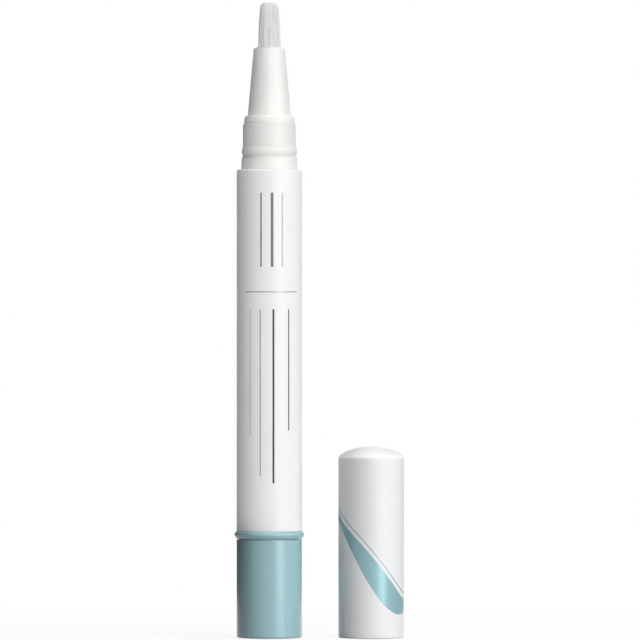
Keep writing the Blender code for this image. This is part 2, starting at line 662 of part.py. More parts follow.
def make_screw_rod(parts, cutters):
    """Rod with a right-hand thread broken by two flats, and a round head in the piston."""
    shoulder = PISTON_BOTTOM - SEAT_GAP
    neck = ROD_RADIUS * ROD_NECK_SHARE
    head_bottom = PISTON_BOTTOM + THROAT_LENGTH + SEAT_GAP
    head_top = head_bottom + ROD_HEAD_HEIGHT
    outline = [(0, head_top, 0),
               (ROD_RADIUS * ROD_HEAD_TIP_SHARE, head_top, 0),
               (ROD_RADIUS * ROD_HEAD_SHARE, head_bottom, 0),
               (neck, head_bottom, 0),
               (neck, shoulder, 0),
               (THREAD_ROOT_RADIUS, shoulder, 0),
               (THREAD_ROOT_RADIUS, ROD_BOTTOM, 0),
               (0, ROD_BOTTOM, 0)]
    rod = turned("screw_rod", outline, parts, NATURAL_WHITE, THREAD_SEGMENTS)
    start = ROD_BOTTOM + THREAD_PITCH
    turns = math.floor((shoulder - start) / THREAD_PITCH - THREAD_BASE_SHARE)
    ridge = thread_ridge("rod_thread", THREAD_ROOT_RADIUS - THREAD_DEPTH, ROD_RADIUS,
                         THREAD_PITCH * THREAD_BASE_SHARE, THREAD_PITCH * THREAD_CREST_SHARE,
                         start, turns, cutters)
    combine(rod, ridge, 'UNION')
    cut_flats(rod, ROD_FLAT, ROD_RADIUS, ROD_BOTTOM - CUT_OVERRUN,
              (shoulder + head_bottom) / 2, cutters)
    return rod


def make_piston(parts):
    """Piston body with a groove for its seal and a socket that the rod's head turns in."""
    body = RESERVOIR_RADIUS - PISTON_SIDE_GAP
    waist = body - PISTON_GROOVE_DEPTH
    nose_base = PISTON_TOP - PISTON_NOSE_HEIGHT
    throat = ROD_RADIUS * ROD_NECK_SHARE + RUNNING_CLEARANCE
    socket = ROD_RADIUS * ROD_HEAD_SHARE + RUNNING_CLEARANCE
    socket_bottom = PISTON_BOTTOM + THROAT_LENGTH
    socket_top = socket_bottom + ROD_HEAD_HEIGHT + 2 * SEAT_GAP
    outline = [(0, PISTON_TOP, 0),
               (body * PISTON_NOSE_SHARE, PISTON_TOP, PISTON_ROUND),
               (body, nose_base, 0),
               (body, PISTON_TOP - PISTON_FLANGE, 0),
               (waist, PISTON_TOP - PISTON_FLANGE, 0),
               (waist, PISTON_BOTTOM + PISTON_FLANGE, 0),
               (body, PISTON_BOTTOM + PISTON_FLANGE, 0),
               (body, PISTON_BOTTOM, PISTON_ROUND),
               (throat, PISTON_BOTTOM, 0),
               (throat, socket_bottom, 0),
               (socket, socket_bottom, 0),
               (socket, socket_top, 0),
               (0, socket_top, 0)]
    return turned("piston", outline, parts, WARM_WHITE)


def make_piston_seal(parts):
    """Soft sleeve in the piston's groove, with a lip at each end that wipes the bore."""
    lip = RESERVOIR_RADIUS - PRESS_CLEARANCE
    inner = RESERVOIR_RADIUS - PISTON_SIDE_GAP - PISTON_GROOVE_DEPTH + PRESS_CLEARANCE
    top = PISTON_TOP - PISTON_FLANGE - PRESS_CLEARANCE
    bottom = PISTON_BOTTOM + PISTON_FLANGE + PRESS_CLEARANCE
    lip_height = (top - bottom) / 4
    waist = lip - SEAL_WAIST_DEPTH
    outline = [(inner, top, 0), (lip, top, 0),
               (waist, top - lip_height, 0), (waist, bottom + lip_height, 0),
               (lip, bottom, 0), (inner, bottom, 0)]
    return turned("piston_seal", outline, parts, SOFT_RUBBER)


def neck_ring_level():
    """Height of the neck seal's middle on the plug."""
    return (PLUG_BOTTOM + BARREL_TOP) / 2


def make_neck_fitment(parts):
    """Neck that closes the reservoir: plug, collar, snap bead and neck in one moulding."""
    gland = NECK_RING_THICKNESS / 2 + PRESS_CLEARANCE
    gland_radius = PLUG_RADIUS - NECK_RING_THICKNESS - PRESS_CLEARANCE
    level = neck_ring_level()
    groove = (GROOVE_RADIUS, COLLAR_TOP + GROOVE_HEIGHT)
    outline = [(NECK_BORE_RADIUS, NECK_TOP, 0),
               (NECK_RADIUS, NECK_TOP, NECK_ROUND),
               *hump(groove, (NECK_RADIUS, SNAP_BEAD_TOP), SNAP_BEAD_RISE),
               (COLLAR_RADIUS - COLLAR_TAPER, COLLAR_TOP, COLLAR_ROUND),
               (COLLAR_RADIUS, COLLAR_BOTTOM, 0),
               (PLUG_RADIUS, COLLAR_BOTTOM, 0),
               (PLUG_RADIUS, level + gland, 0),
               (gland_radius, level + gland, 0),
               (gland_radius, level - gland, 0),
               (PLUG_RADIUS, level - gland, 0),
               (PLUG_RADIUS, PLUG_BOTTOM, NECK_ROUND),
               (NECK_BORE_RADIUS, PLUG_BOTTOM, 0)]
    return turned("neck_fitment", outline, parts, WARM_WHITE)


def make_neck_seal(parts):
    """Rubber ring in the plug's gland, a torus primitive."""
    minor = NECK_RING_THICKNESS / 2
    bpy.ops.mesh.primitive_torus_add(major_radius=PLUG_RADIUS - minor, minor_radius=minor,
                                     major_segments=SEGMENTS, minor_segments=NECK_RING_SEGMENTS,
                                     location=(0, 0, neck_ring_level()))
    seal = bpy.context.object
    seal.name = "neck_seal"
    for owner in seal.users_collection:
        owner.objects.unlink(seal)
    parts.objects.link(seal)
    seal.data.materials.append(finish_material(SOFT_RUBBER))
    return seal


def make_nozzle(parts):
    """Tapered nozzle: flange on the neck, spigot inside it, and a seat for the brush."""
    outline = [(MOUTH_RADIUS, NOZZLE_TOP, 0),
               (NOZZLE_TIP_RADIUS, NOZZLE_TOP, NOZZLE_RIM_ROUND),
               (CONE_RADIUS, FLANGE_TOP, 0),
               (FLANGE_TOP_RADIUS, FLANGE_TOP, NOZZLE_FLANGE_ROUND),
               (FLANGE_RADIUS, FLANGE_BOTTOM, 0),
               (SPIGOT_RADIUS, FLANGE_BOTTOM, 0),
               (SPIGOT_RADIUS, SPIGOT_BOTTOM, 0),
               (NOZZLE_BORE_RADIUS, SPIGOT_BOTTOM, 0),
               (NOZZLE_BORE_RADIUS, BRUSH_SEAT_LEVEL, 0),
               (MOUTH_RADIUS, BRUSH_SEAT_LEVEL, 0)]
    return turned("nozzle", outline, parts, WARM_WHITE)


def make_feed_plug(parts):
    """Plug pressed into the nozzle from below; it backs the brush and holds the pipe."""
    flange = NECK_BORE_RADIUS - PLUG_FLANGE_GAP
    outline = [(PIPE_HOLE_RADIUS, FEED_PLUG_TOP, 0),
               (BACKING_RADIUS, FEED_PLUG_TOP, 0),
               (BACKING_RADIUS, FEED_FLANGE_TOP, 0),
               (flange, FEED_FLANGE_TOP, 0),
               (flange, FEED_PLUG_BOTTOM, 0),
               (PIPE_HOLE_RADIUS, FEED_PLUG_BOTTOM, 0)]
    return turned("feed_plug", outline, parts, NATURAL_WHITE, SMALL_SEGMENTS)


def make_feed_pipe(parts):
    """Fine pipe that carries the liquid through the plug into the heart of the brush."""
    top = NOZZLE_TOP + PIPE_REACH
    bottom = FEED_PLUG_BOTTOM - PIPE_TAIL
    inner = PIPE_RADIUS - PIPE_WALL
    outline = [(inner, top, 0), (PIPE_RADIUS, top, 0),
               (PIPE_RADIUS, bottom, 0), (inner, bottom, 0)]
    return turned("feed_pipe", outline, parts, NATURAL_WHITE, THREAD_SEGMENTS)


def strand_spiral():
    """Even spiral of strands between the pipe and the rim: their places and their pitch."""
    inner = PIPE_HOLE_RADIUS / BRUSH_TIP_SHARE
    pitch = math.sqrt((BRUSH_RADIUS ** 2 - inner ** 2) / (STRAND_COUNT + 1))
    margin = pitch * STRAND_ROOT_SHARE / 2
    low, high = inner + margin, BRUSH_RADIUS - margin
    places = []
    for index in range(STRAND_COUNT):
        share = (index + 1) / STRAND_COUNT
        radius = math.sqrt(low ** 2 + (high ** 2 - low ** 2) * share)
        turn = SPIRAL_ANGLE * index
        places.append(Vector((radius * math.cos(turn), radius * math.sin(turn))))
    return places, pitch


def make_brush(parts, cutters):
    """Brush: straight strands that draw in towards a rounded tip, fused to their backing."""
    hole = PIPE_HOLE_RADIUS
    outline = [(hole, BACKING_TOP, 0), (BACKING_RADIUS, BACKING_TOP, 0),
               (BACKING_RADIUS, BACKING_BOTTOM, 0), (hole, BACKING_BOTTOM, 0)]
    brush = turned("brush", outline, parts, BRISTLE_WHITE, SMALL_SEGMENTS)
    root_level = BACKING_TOP - BRUSH_BACKING * STRAND_ROOTING_SHARE
    full_length = BRUSH_TIP - root_level
    places, pitch = strand_spiral()
    tuft = bmesh.new()
    for index, place in enumerate(places):
        share = place.length / BRUSH_RADIUS
        edge = max(0, share - BRUSH_ROUND_SHARE) / (1 - BRUSH_ROUND_SHARE)
        length = full_length - BRUSH_ROUND_DROP * edge ** 3
        draw_in = (1 - BRUSH_TIP_SHARE) * length / full_length
        root = Vector((*place, root_level))
        tip = Vector((*(place * (1 - draw_in)), root_level + length))
        lean = Vector((0, 0, 1)).rotation_difference(tip - root)
        spin = Matrix.Rotation(SPIRAL_ANGLE * index, 4, 'Z')
        matrix = Matrix.Translation((root + tip) / 2) @ lean.to_matrix().to_4x4() @ spin
        bmesh.ops.create_cone(tuft, cap_ends=True, segments=STRAND_SIDES,
                              radius1=pitch * STRAND_ROOT_SHARE / 2,
                              radius2=pitch * STRAND_TIP_SHARE / 2,
                              depth=(tip - root).length, matrix=matrix)
    mesh = bpy.data.meshes.new("strands")
    tuft.to_mesh(mesh)
    tuft.free()
    combine(brush, link("strands", mesh, cutters, None), 'UNION')
    return brush


def make_cap(parts):
    """White cap, domed on top, with a snap rib inside its mouth; z is measured from the mouth."""
    rib = COLLAR_TOP - BARREL_TOP + GROOVE_HEIGHT
    half = CAP_RIB_HEIGHT / 2
    outer = dome(CAP_RADIUS, CAP_HEIGHT - CAP_DOME, CAP_DOME)
    inner = dome(CAP_BORE_RADIUS, CAP_SPRING_LINE, CAP_INNER_DOME)
    outline = [*outer,
               (CAP_RADIUS, 0, CAP_MOUTH_ROUND),
               (CAP_BORE_RADIUS, 0, 0),
               (CAP_BORE_RADIUS, rib - half, 0),
               (CAP_BORE_RADIUS - CAP_RIB_RISE, rib, 0),
               (CAP_BORE_RADIUS, rib + half, 0),
               *reversed(inner)]
    return turned("cap", outline, parts, WHITE_GLOSS)


def make_cap_liner(parts):
    """Liner pressed into the cap; its mouth seals on the nozzle's flange."""
    radius = CAP_BORE_RADIUS - PRESS_CLEARANCE
    bottom = NECK_TOP - BARREL_TOP + SEAT_GAP
    mouth = radius - LINER_MOUTH_WALL
    bore = radius - LINER_WALL
    step = bottom + LINER_MOUTH_HEIGHT
    ceiling = LINER_TOP - LINER_ROOF
    outline = [(0, LINER_TOP, 0),
               (radius, LINER_TOP, LINER_ROUND),
               (radius, bottom, 0),
               (mouth + LINER_LEAD, bottom, 0),
               (mouth, bottom + LINER_LEAD, 0),
               (mouth, step, 0),
               (bore, step + LINER_LEAD, 0),
               (bore, ceiling, LINER_ROUND),
               (0, ceiling, 0)]
    return turned("cap_liner", outline, parts, NATURAL_WHITE)


def shade_round(piece):
    """Keep the finished mesh, shaded smooth but for its sharp edges."""
    mesh = evaluated_mesh(piece)
    mesh.name = piece.name
    mesh.shade_smooth()
    mesh.set_sharp_from_angle(angle=SHARP_ANGLE)
    piece.modifiers.clear()
    piece.data = mesh


def joint_empty(name, place, collection, parent=None):
    """An empty on a joint's axis, which carries the pieces that move together."""
    empty = bpy.data.objects.new(name, None)
    empty.empty_display_size = BARREL_RADIUS
    empty.location = place
    empty.parent = parent
    collection.objects.link(empty)
    return empty


def carry(empty, pieces):
    """Parent pieces to an empty; a piece keeps its place in the empty's own frame."""
    for piece in pieces:
        piece.parent = empty


def main():
    """Build the pen and its cap."""
    clear_scene()
    parts = new_collection("nail_care_pen")
    cutters = new_collection("cutters")

    fixed = [make_barrel(parts), make_tail_bush(parts), make_screw_nut(parts, cutters),
             make_neck_fitment(parts), make_neck_seal(parts), make_nozzle(parts),
             make_feed_plug(parts), make_feed_pipe(parts), make_brush(parts, cutters)]
    turning = [make_knob_shell(parts), make_knob_core(parts, cutters),
               make_drive_sleeve(parts, cutters), make_ratchet_pawl(parts)]
    climbing = [make_screw_rod(parts, cutters)]
    pushed = [make_piston(parts), make_piston_seal(parts)]
    lifted = [make_cap(parts), make_cap_liner(parts)]

    for piece in fixed + turning + climbing + pushed + lifted:
        shade_round(piece)

    knob_axis = joint_empty("knob_axis", (0, 0, 0), parts)
    carry(knob_axis, turning)
    carry(joint_empty("rod_axis", (0, 0, 0), parts, knob_axis), climbing)
    carry(joint_empty("piston_axis", (0, 0, 0), parts), pushed)
    carry(joint_empty("cap_axis", (CAP_PLACE, 0, 0), parts), lifted)
    bpy.context.view_layer.update()


main()
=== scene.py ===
# %% [markdown]
# Dressing a twist-up nail care pen
#
# The real object is a slim plastic pen that stands open on its teal knob, with its white cap
# beside it.  Nearly every piece of it came out of a turned mould, so nearly every piece here
# is made the way a turner would think of it: a ring of points that is drawn along a profile.
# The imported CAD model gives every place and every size, and this script only dresses it.

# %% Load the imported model
import math
import random

import bmesh
import bpy
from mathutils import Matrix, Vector


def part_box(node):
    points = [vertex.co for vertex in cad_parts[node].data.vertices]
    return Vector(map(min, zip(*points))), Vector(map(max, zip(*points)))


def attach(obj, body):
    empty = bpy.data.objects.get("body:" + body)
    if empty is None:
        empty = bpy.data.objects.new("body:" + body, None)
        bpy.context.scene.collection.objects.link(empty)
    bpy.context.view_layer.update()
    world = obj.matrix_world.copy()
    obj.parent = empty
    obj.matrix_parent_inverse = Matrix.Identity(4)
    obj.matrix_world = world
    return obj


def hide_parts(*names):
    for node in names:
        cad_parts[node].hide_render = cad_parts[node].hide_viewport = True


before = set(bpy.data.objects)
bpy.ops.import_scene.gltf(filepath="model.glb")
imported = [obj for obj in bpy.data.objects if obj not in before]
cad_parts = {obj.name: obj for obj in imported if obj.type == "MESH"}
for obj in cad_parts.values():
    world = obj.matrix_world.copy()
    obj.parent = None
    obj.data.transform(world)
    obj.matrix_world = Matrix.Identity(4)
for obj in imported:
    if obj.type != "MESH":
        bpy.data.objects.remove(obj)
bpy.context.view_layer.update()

print("nodes:", sorted(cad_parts))

# %% [markdown]
# Sizes that every piece shares
#
# Profiles are easier to read in millimetres, while Blender works in metres, so one constant
# turns one into the other.  The pen's axis is the Z axis, and the cap stands to its right on
# an axis of its own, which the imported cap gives.  A ring can't shrink to nothing, so a closed
# end stops at a small pole ring, which is then filled.

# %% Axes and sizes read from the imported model
MM = 0.001
PEN_AXIS = (0, 0)
POLE = 0.3
cap_low, cap_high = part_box("cap")
CAP_AXIS = ((cap_low.x + cap_high.x) / 2, 0)
RING_POINTS = 128
TOUCH = 0.004 * MM

barrel_low, barrel_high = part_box("barrel")
BARREL_FOOT, BARREL_HEAD = barrel_low.z / MM, barrel_high.z / MM
BARREL_RADIUS = barrel_high.x / MM
neck_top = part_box("neck_fitment")[1].z / MM
nozzle_foot, nozzle_top = (corner.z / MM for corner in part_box("nozzle"))
brush_foot, brush_tip = (corner.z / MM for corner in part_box("brush"))
knob_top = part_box("knob_shell")[1].z / MM
cap_top = cap_high.z / MM
print(f"barrel {BARREL_FOOT:.2f} to {BARREL_HEAD:.2f} mm, radius {BARREL_RADIUS:.2f} mm")
print(f"cap axis at x = {CAP_AXIS[0] / MM:.2f} mm, cap top {cap_top:.2f} mm")

# %% [markdown]
# Selection first
#
# Blender's operators act on whatever is selected, and loading leaves the CAD nodes selected.
# So each piece starts from an empty selection, and edges are then picked by where they are.

# %% Helpers for selecting
def clear_selection():
    """Leave nothing selected, in object mode."""
    if bpy.context.object and bpy.context.object.mode != 'OBJECT':
        bpy.ops.object.mode_set(mode='OBJECT')
    bpy.ops.object.select_all(action='DESELECT')


def only(piece):
    """Make one piece the selection and the active object."""
    clear_selection()
    piece.select_set(True)
    bpy.context.view_layer.objects.active = piece


def pick_ring(piece, axis, radius, height):
    """In edit mode, select the edges of the ring at a radius and height in mm."""
    bpy.ops.mesh.select_mode(type='EDGE')
    bpy.ops.mesh.select_all(action='DESELECT')
    mesh = bmesh.from_edit_mesh(piece.data)
    inverse = piece.matrix_world.inverted()
    centre = inverse @ Vector((*axis, height * MM))

    def on_ring(vertex):
        away = vertex.co - centre
        return abs(away.z) < TOUCH and abs(away.xy.length - radius * MM) < TOUCH

    for edge in mesh.edges:
        edge.select_set(all(on_ring(vertex) for vertex in edge.verts))
    mesh.select_flush_mode()
    bmesh.update_edit_mesh(piece.data)


# %% [markdown]
# Drawing a ring along a profile
#
# A turned plastic piece is all rings.  A circle is added at the first ring, and each further
# ring is extruded from the last and scaled to its radius, just as one would do by hand with
# E and S.  A hollow piece is closed by bridging its last ring to its first, a solid one by
# filling both ends.  Moulded edges are never sharp, so the corners that have a round are
# bevelled at the end.  A Spin of the whole outline would do too, but it hides which ring is
# which, and the rings are what the bevels need.

# %% Helper that draws a ring along a profile
def draw_rings(name, profile, axis=PEN_AXIS, hollow=True, points=RING_POINTS, steps=4):
    """Extrude a circle through (radius, height, round) corners in mm, then round its edges."""
    clear_selection()
    radius, height, _ = profile[0]
    bpy.ops.mesh.primitive_circle_add(vertices=points, radius=radius * MM,
                                      location=(*axis, height * MM))
    piece = bpy.context.object
    piece.name = piece.data.name = name
    bpy.ops.object.mode_set(mode='EDIT')
    bpy.ops.mesh.select_all(action='SELECT')
    for before, after in zip(profile, profile[1:]):
        rise = (after[1] - before[1]) * MM
        bpy.ops.mesh.extrude_region_move(TRANSFORM_OT_translate={"value": (0, 0, rise)})
        growth = after[0] / before[0]
        bpy.ops.transform.resize(value=(growth, growth, 1),
                                 center_override=(*axis, after[1] * MM))
    bpy.ops.mesh.select_mode(type='EDGE')
    bpy.ops.mesh.select_all(action='DESELECT')
    bpy.ops.mesh.select_non_manifold(use_wire=False, use_multi_face=False,
                                     use_non_contiguous=False, use_verts=False)
    if hollow:
        bpy.ops.mesh.bridge_edge_loops()
    else:
        bpy.ops.mesh.fill_holes(sides=0)
    for radius, height, corner_round in profile:
        if corner_round:
            pick_ring(piece, axis, radius, height)
            bpy.ops.mesh.bevel(offset=corner_round * MM, segments=steps, affect='EDGES')
    bpy.ops.mesh.select_all(action='SELECT')
    bpy.ops.mesh.normals_make_consistent(inside=False)
    bpy.ops.object.mode_set(mode='OBJECT')
    return piece


def settle(piece, angle=40):
    """Put the place into the mesh, and shade round walls smoothly but flat faces flat."""
    only(piece)
    bpy.ops.object.transform_apply(location=True, rotation=True, scale=True)
    bpy.ops.object.shade_smooth_by_angle(angle=math.radians(angle))
    weighted = piece.modifiers.new("even_shading", 'WEIGHTED_NORMAL')
    weighted.keep_sharp = True
    bpy.ops.object.modifier_apply(modifier=weighted.name)
    print(f"{piece.name}: {len(piece.data.polygons)} faces")
    return piece


def dress(piece, material, body, slot, *nodes):
    """Give a finished piece its material and its body, and hide the node that it stands for; its
    slot is not used.
    """
    piece.data.materials.clear()
    piece.data.materials.append(material)
    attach(piece, body)
    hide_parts(*nodes)


# %% [markdown]
# Node helpers
#
# A material is a small network of nodes, and writing one in code repeats the same three
# steps: add a node, set its inputs, link it.  These helpers do those steps, so that each
# finish below reads as a list of what it is made of.  All patterns read Object coordinates:
# they are in metres and stay on the piece wherever the camera stands.

# %% Helpers for nodes
def new_material(name):
    """A fresh material with its tree and its Principled shader."""
    material = bpy.data.materials.new(name)
    material.use_nodes = True
    tree = material.node_tree
    return material, tree, tree.nodes["Principled BSDF"]


def add(tree, kind, inputs=(), **settings):
    """Add a node, set its properties, and set or link its inputs by name or number."""
    node = tree.nodes.new(kind)
    for key, value in settings.items():
        setattr(node, key, value)
    for key, value in dict(inputs).items():
        if isinstance(value, bpy.types.NodeSocket):
            tree.links.new(value, node.inputs[key])
        else:
            node.inputs[key].default_value = value
    return node


def calc(tree, operation, *values):
    """A Math node; gives its output."""
    return add(tree, 'ShaderNodeMath', dict(enumerate(values)), operation=operation).outputs[0]


def noise(tree, where, scale, detail=2.0):
    """A Noise node's value at Object coordinates."""
    return add(tree, 'ShaderNodeTexNoise',
               {"Vector": where, "Scale": scale, "Detail": detail}).outputs["Fac"]


def spread(tree, value, low, high):
    """Map a value of 0 to 1 onto low to high."""
    return add(tree, 'ShaderNodeMapRange',
               {"Value": value, "To Min": low, "To Max": high}).outputs["Result"]


def blend_colours(tree, share, first, second):
    """Mix two colours; a share of 0 gives the first."""
    node = tree.nodes.new('ShaderNodeMix')
    node.data_type = 'RGBA'
    sockets = {"share": node.inputs[0], "first": node.inputs[6], "second": node.inputs[7]}
    for name, value in (("share", share), ("first", first), ("second", second)):
        if isinstance(value, bpy.types.NodeSocket):
            tree.links.new(value, sockets[name])
        else:
            sockets[name].default_value = value
    return node.outputs[2]


def stretched(tree, where, stretch):
    """Object coordinates stretched along each axis."""
    return add(tree, 'ShaderNodeMapping', {"Vector": where, "Scale": stretch}).outputs["Vector"]


BUMP_STRENGTH, WANDER_COARSER = 0.35, 6


def skin(tree, shader, where, grain, height, roughness):
    """Fine moulded skin: a shallow bump and a roughness that wanders between two values."""
    relief = noise(tree, where, grain)
    bump = add(tree, 'ShaderNodeBump', {"Height": relief, "Strength": BUMP_STRENGTH,
                                        "Distance": height * MM})
    tree.links.new(bump.outputs["Normal"], shader.inputs["Normal"])
    wander = noise(tree, where, grain / WANDER_COARSER)
    tree.links.new(spread(tree, wander, *roughness), shader.inputs["Roughness"])


# %% [markdown]
# Glossy white plastic
#
# The barrel and the cap are opaque white mouldings with a polished skin.  White plastic lets
# a little light in and out again, which softens its shaded side, so the shader gets some
# subsurface.  The skin is almost flat, with the faint orange peel that a polished mould
# leaves, and the colour drifts by a hair.  On white, a full gloss burns out the bright band
# that a lamp draws along a round wall, so the shine is kept low and a little blurred, and
# only the satin neck, which is a shade darker, gets more of it.

# %% The white plastics
WHITE, WHITE_DEEP = (0.88, 0.885, 0.89, 1), (0.86, 0.865, 0.87, 1)
WARM_WHITE, WARM_WHITE_DEEP = (0.81, 0.81, 0.788, 1), (0.79, 0.79, 0.768, 1)
NATURAL, NATURAL_DEEP = (0.76, 0.755, 0.72, 1), (0.7, 0.695, 0.66, 1)
SCATTER_REACH = (3.0 * MM, 3.0 * MM, 2.9 * MM)
COLOUR_DRIFT = 180
POLISHED = {"grain": 1500, "height": 0.006, "roughness": (0.28, 0.32)}


def white_plastic(name, light, deep, grain, height, roughness, scatter=0.2, shine=0.18):
    """A white moulding: drifting colour, moulded skin and some light inside."""
    material, tree, shader = new_material(name)
    where = add(tree, 'ShaderNodeTexCoord').outputs["Object"]
    drift = noise(tree, where, COLOUR_DRIFT)
    colour = blend_colours(tree, drift, light, deep)
    tree.links.new(colour, shader.inputs["Base Color"])
    skin(tree, shader, where, grain, height, roughness)
    shader.inputs["Subsurface Weight"].default_value = scatter
    shader.inputs["Subsurface Radius"].default_value = SCATTER_REACH
    shader.inputs["Subsurface Scale"].default_value = 1
    shader.inputs["Specular IOR Level"].default_value = shine
    return material, tree, shader, where, colour


neck_plastic = white_plastic("satin_warm_white", WARM_WHITE, WARM_WHITE_DEEP, grain=1600,
                             height=0.008, roughness=(0.27, 0.31), shine=0.24)[0]
inner_plastic = white_plastic("natural_white", NATURAL, NATURAL_DEEP, grain=900, height=0.015,
                              roughness=(0.4, 0.52), scatter=0.4)[0]
print("white plastics:", neck_plastic.name, inner_plastic.name)

# %% [markdown]
# Printing on a round wall
#
# The maker prints the barrel and the cap after moulding.  Print has no thickness worth
# modelling, so it is a mask in the material: the angle round the axis and the height say
# where ink or foil lies.  The angle comes from an Arctan2 of the Object coordinates, turned
# into millimetres along the wall, so that a stripe has the width that its number says.

# %% Helpers for printing
def wall_place(tree, where, axis, radius):
    """Millimetres round the wall from the front, millimetres of height, and the angle."""
    split = add(tree, 'ShaderNodeSeparateXYZ', {"Vector": where}).outputs
    across = calc(tree, 'SUBTRACT', split["X"], axis[0])
    towards = calc(tree, 'MULTIPLY', split["Y"], -1.0)
    angle = calc(tree, 'ARCTAN2', across, towards)
    return calc(tree, 'MULTIPLY', angle, radius), calc(tree, 'DIVIDE', split["Z"], MM), angle


def within(tree, value, middle, half):
    """1 where a value lies within half of the middle, and 0 elsewhere."""
    away = calc(tree, 'ABSOLUTE', calc(tree, 'SUBTRACT', value, middle))
    return calc(tree, 'LESS_THAN', away, half)


def patch(tree, along, up, box):
    """A printed rectangle: box is (left, right, bottom, top) on the wall in mm."""
    left, right, bottom, top = box
    return calc(tree, 'MULTIPLY',
                within(tree, along, (left + right) / 2, (right - left) / 2),
                within(tree, up, (bottom + top) / 2, (top - bottom) / 2))


def together(tree, masks):
    """The union of several masks."""
    total = masks[0]
    for mask in masks[1:]:
        total = calc(tree, 'MAXIMUM', total, mask)
    return total


# %% [markdown]
# The barrel's decoration
#
# A thin foil rule runs across the barrel.  Three foil bars stand above it, and plain
# pinstripes of varied weight below it.  Foil is hot-stamped metal, finely brushed along its
# length, so where it lies the shader turns metallic.  Ink only changes the colour.

# %% The barrel's white plastic with foil and ink
RULE = (-4.85, 5.95, 63.54, 63.68)
FOIL_BARS = [(-1.62, -1.38, 68.2, 81.8), (0.3, 0.8, 68.2, 81.8), (2.35, 2.6, 68.2, 81.8)]
FOIL_DARK, FOIL_LIGHT = (0.07, 0.07, 0.073, 1), (0.12, 0.12, 0.124, 1)
FOIL_STRETCH, FOIL_GRAIN = (1, 1, 0.08), 4000
INK_STRIPES = [((-3.78, -3.66, 37.3, 60.4), (0.33, 0.35, 0.36, 1)),
               ((-1.74, -1.58, 29.8, 60.4), (0.2, 0.215, 0.22, 1)),
               ((0.62, 0.98, 28.5, 60.4), (0.06, 0.066, 0.07, 1)),
               ((3.72, 3.98, 38.2, 60.4), (0.1, 0.108, 0.112, 1))]

barrel_plastic, tree, shader, where, colour = white_plastic(
    "gloss_white_printed", WHITE, WHITE_DEEP, **POLISHED)
along, up, _ = wall_place(tree, where, PEN_AXIS, BARREL_RADIUS)
for box, ink in INK_STRIPES:
    colour = blend_colours(tree, patch(tree, along, up, box), colour, ink)
foil = together(tree, [patch(tree, along, up, box) for box in [RULE, *FOIL_BARS]])
brushed = noise(tree, stretched(tree, where, FOIL_STRETCH), FOIL_GRAIN)
foil_colour = blend_colours(tree, brushed, FOIL_DARK, FOIL_LIGHT)
colour = blend_colours(tree, foil, colour, foil_colour)
tree.links.new(colour, shader.inputs["Base Color"])
tree.links.new(foil, shader.inputs["Metallic"])
print("printed on the barrel:", len(INK_STRIPES), "stripes,", 1 + len(FOIL_BARS), "foils")

# %% [markdown]
# Teal plastic
#
# The knob and its ring are coloured through, so no light shows from inside, and their skin
# is glossier than the white's: on a darker colour the bright band can be crisp.

# %% The teal plastic
TEAL, TEAL_DEEP, TEAL_DRIFT = (0.32, 0.52, 0.565, 1), (0.305, 0.5, 0.545, 1), 200

teal_plastic, tree, shader = new_material("gloss_teal")
where = add(tree, 'ShaderNodeTexCoord').outputs["Object"]
tree.links.new(blend_colours(tree, noise(tree, where, TEAL_DRIFT), TEAL, TEAL_DEEP),
               shader.inputs["Base Color"])
skin(tree, shader, where, grain=1500, height=0.006, roughness=(0.19, 0.23))
print("teal plastic:", teal_plastic.name)

# %% [markdown]
# The cap's decoration
#
# The cap carries one broad teal ribbon that waves once round the wall, thick on its way down
# and thin where it turns, with a hairline that follows it.  Its middle is a sine of the
# angle, so it meets itself at the back, and its width is another sine.  The ink has a slight
# metallic sheen, so the shader is one fifth metallic where it lies.

# %% The cap's white plastic with its ribbon
RIBBON_MIDDLE, RIBBON_SWING, RIBBON_TURN = 14.5, 8.5, math.radians(195)
RIBBON_HALF, RIBBON_HALF_SWING, RIBBON_HALF_TURN = 1.9, 1.2, math.radians(60)
HAIRLINE_AWAY, HAIRLINE_HALF = 1.1, 0.14
METAL_TEAL, METAL_SHARE = (0.28, 0.465, 0.505, 1), 0.2

cap_plastic, tree, shader, where, colour = white_plastic(
    "gloss_white_ribbon", WHITE, WHITE_DEEP, **POLISHED)
_, up, angle = wall_place(tree, where, CAP_AXIS, BARREL_RADIUS)
swing = calc(tree, 'MULTIPLY', calc(tree, 'SINE', calc(tree, 'ADD', angle, RIBBON_TURN)),
             RIBBON_SWING)
middle = calc(tree, 'ADD', swing, RIBBON_MIDDLE)
width_wave = calc(tree, 'SINE', calc(tree, 'ADD', calc(tree, 'MULTIPLY', angle, 2.0),
                                     RIBBON_HALF_TURN))
half = calc(tree, 'ADD', calc(tree, 'MULTIPLY', width_wave, RIBBON_HALF_SWING), RIBBON_HALF)
ribbon = within(tree, up, middle, half)
hairline_middle = calc(tree, 'ADD', calc(tree, 'ADD', middle, half), HAIRLINE_AWAY)
hairline = within(tree, up, hairline_middle, HAIRLINE_HALF)
inked = together(tree, [ribbon, hairline])
tree.links.new(blend_colours(tree, inked, colour, METAL_TEAL), shader.inputs["Base Color"])
tree.links.new(calc(tree, 'MULTIPLY', inked, METAL_SHARE), shader.inputs["Metallic"])
print("printed on the cap: one ribbon and its hairline")

# %% [markdown]
# Rubber and bristle
#
# The seals inside are soft dark rubber with a matt, slightly uneven skin.  The brush is white
# nylon: each strand is half clear, so the tuft looks milky, with fine streaks along it.  Its
# right side is painted darker as painted shade: a Map Range of the X coordinate adds that
# shade to the streaks.

# %% The rubber
RUBBER, RUBBER_LIGHT, RUBBER_DRIFT = (0.05, 0.05, 0.055, 1), (0.08, 0.08, 0.085, 1), 700

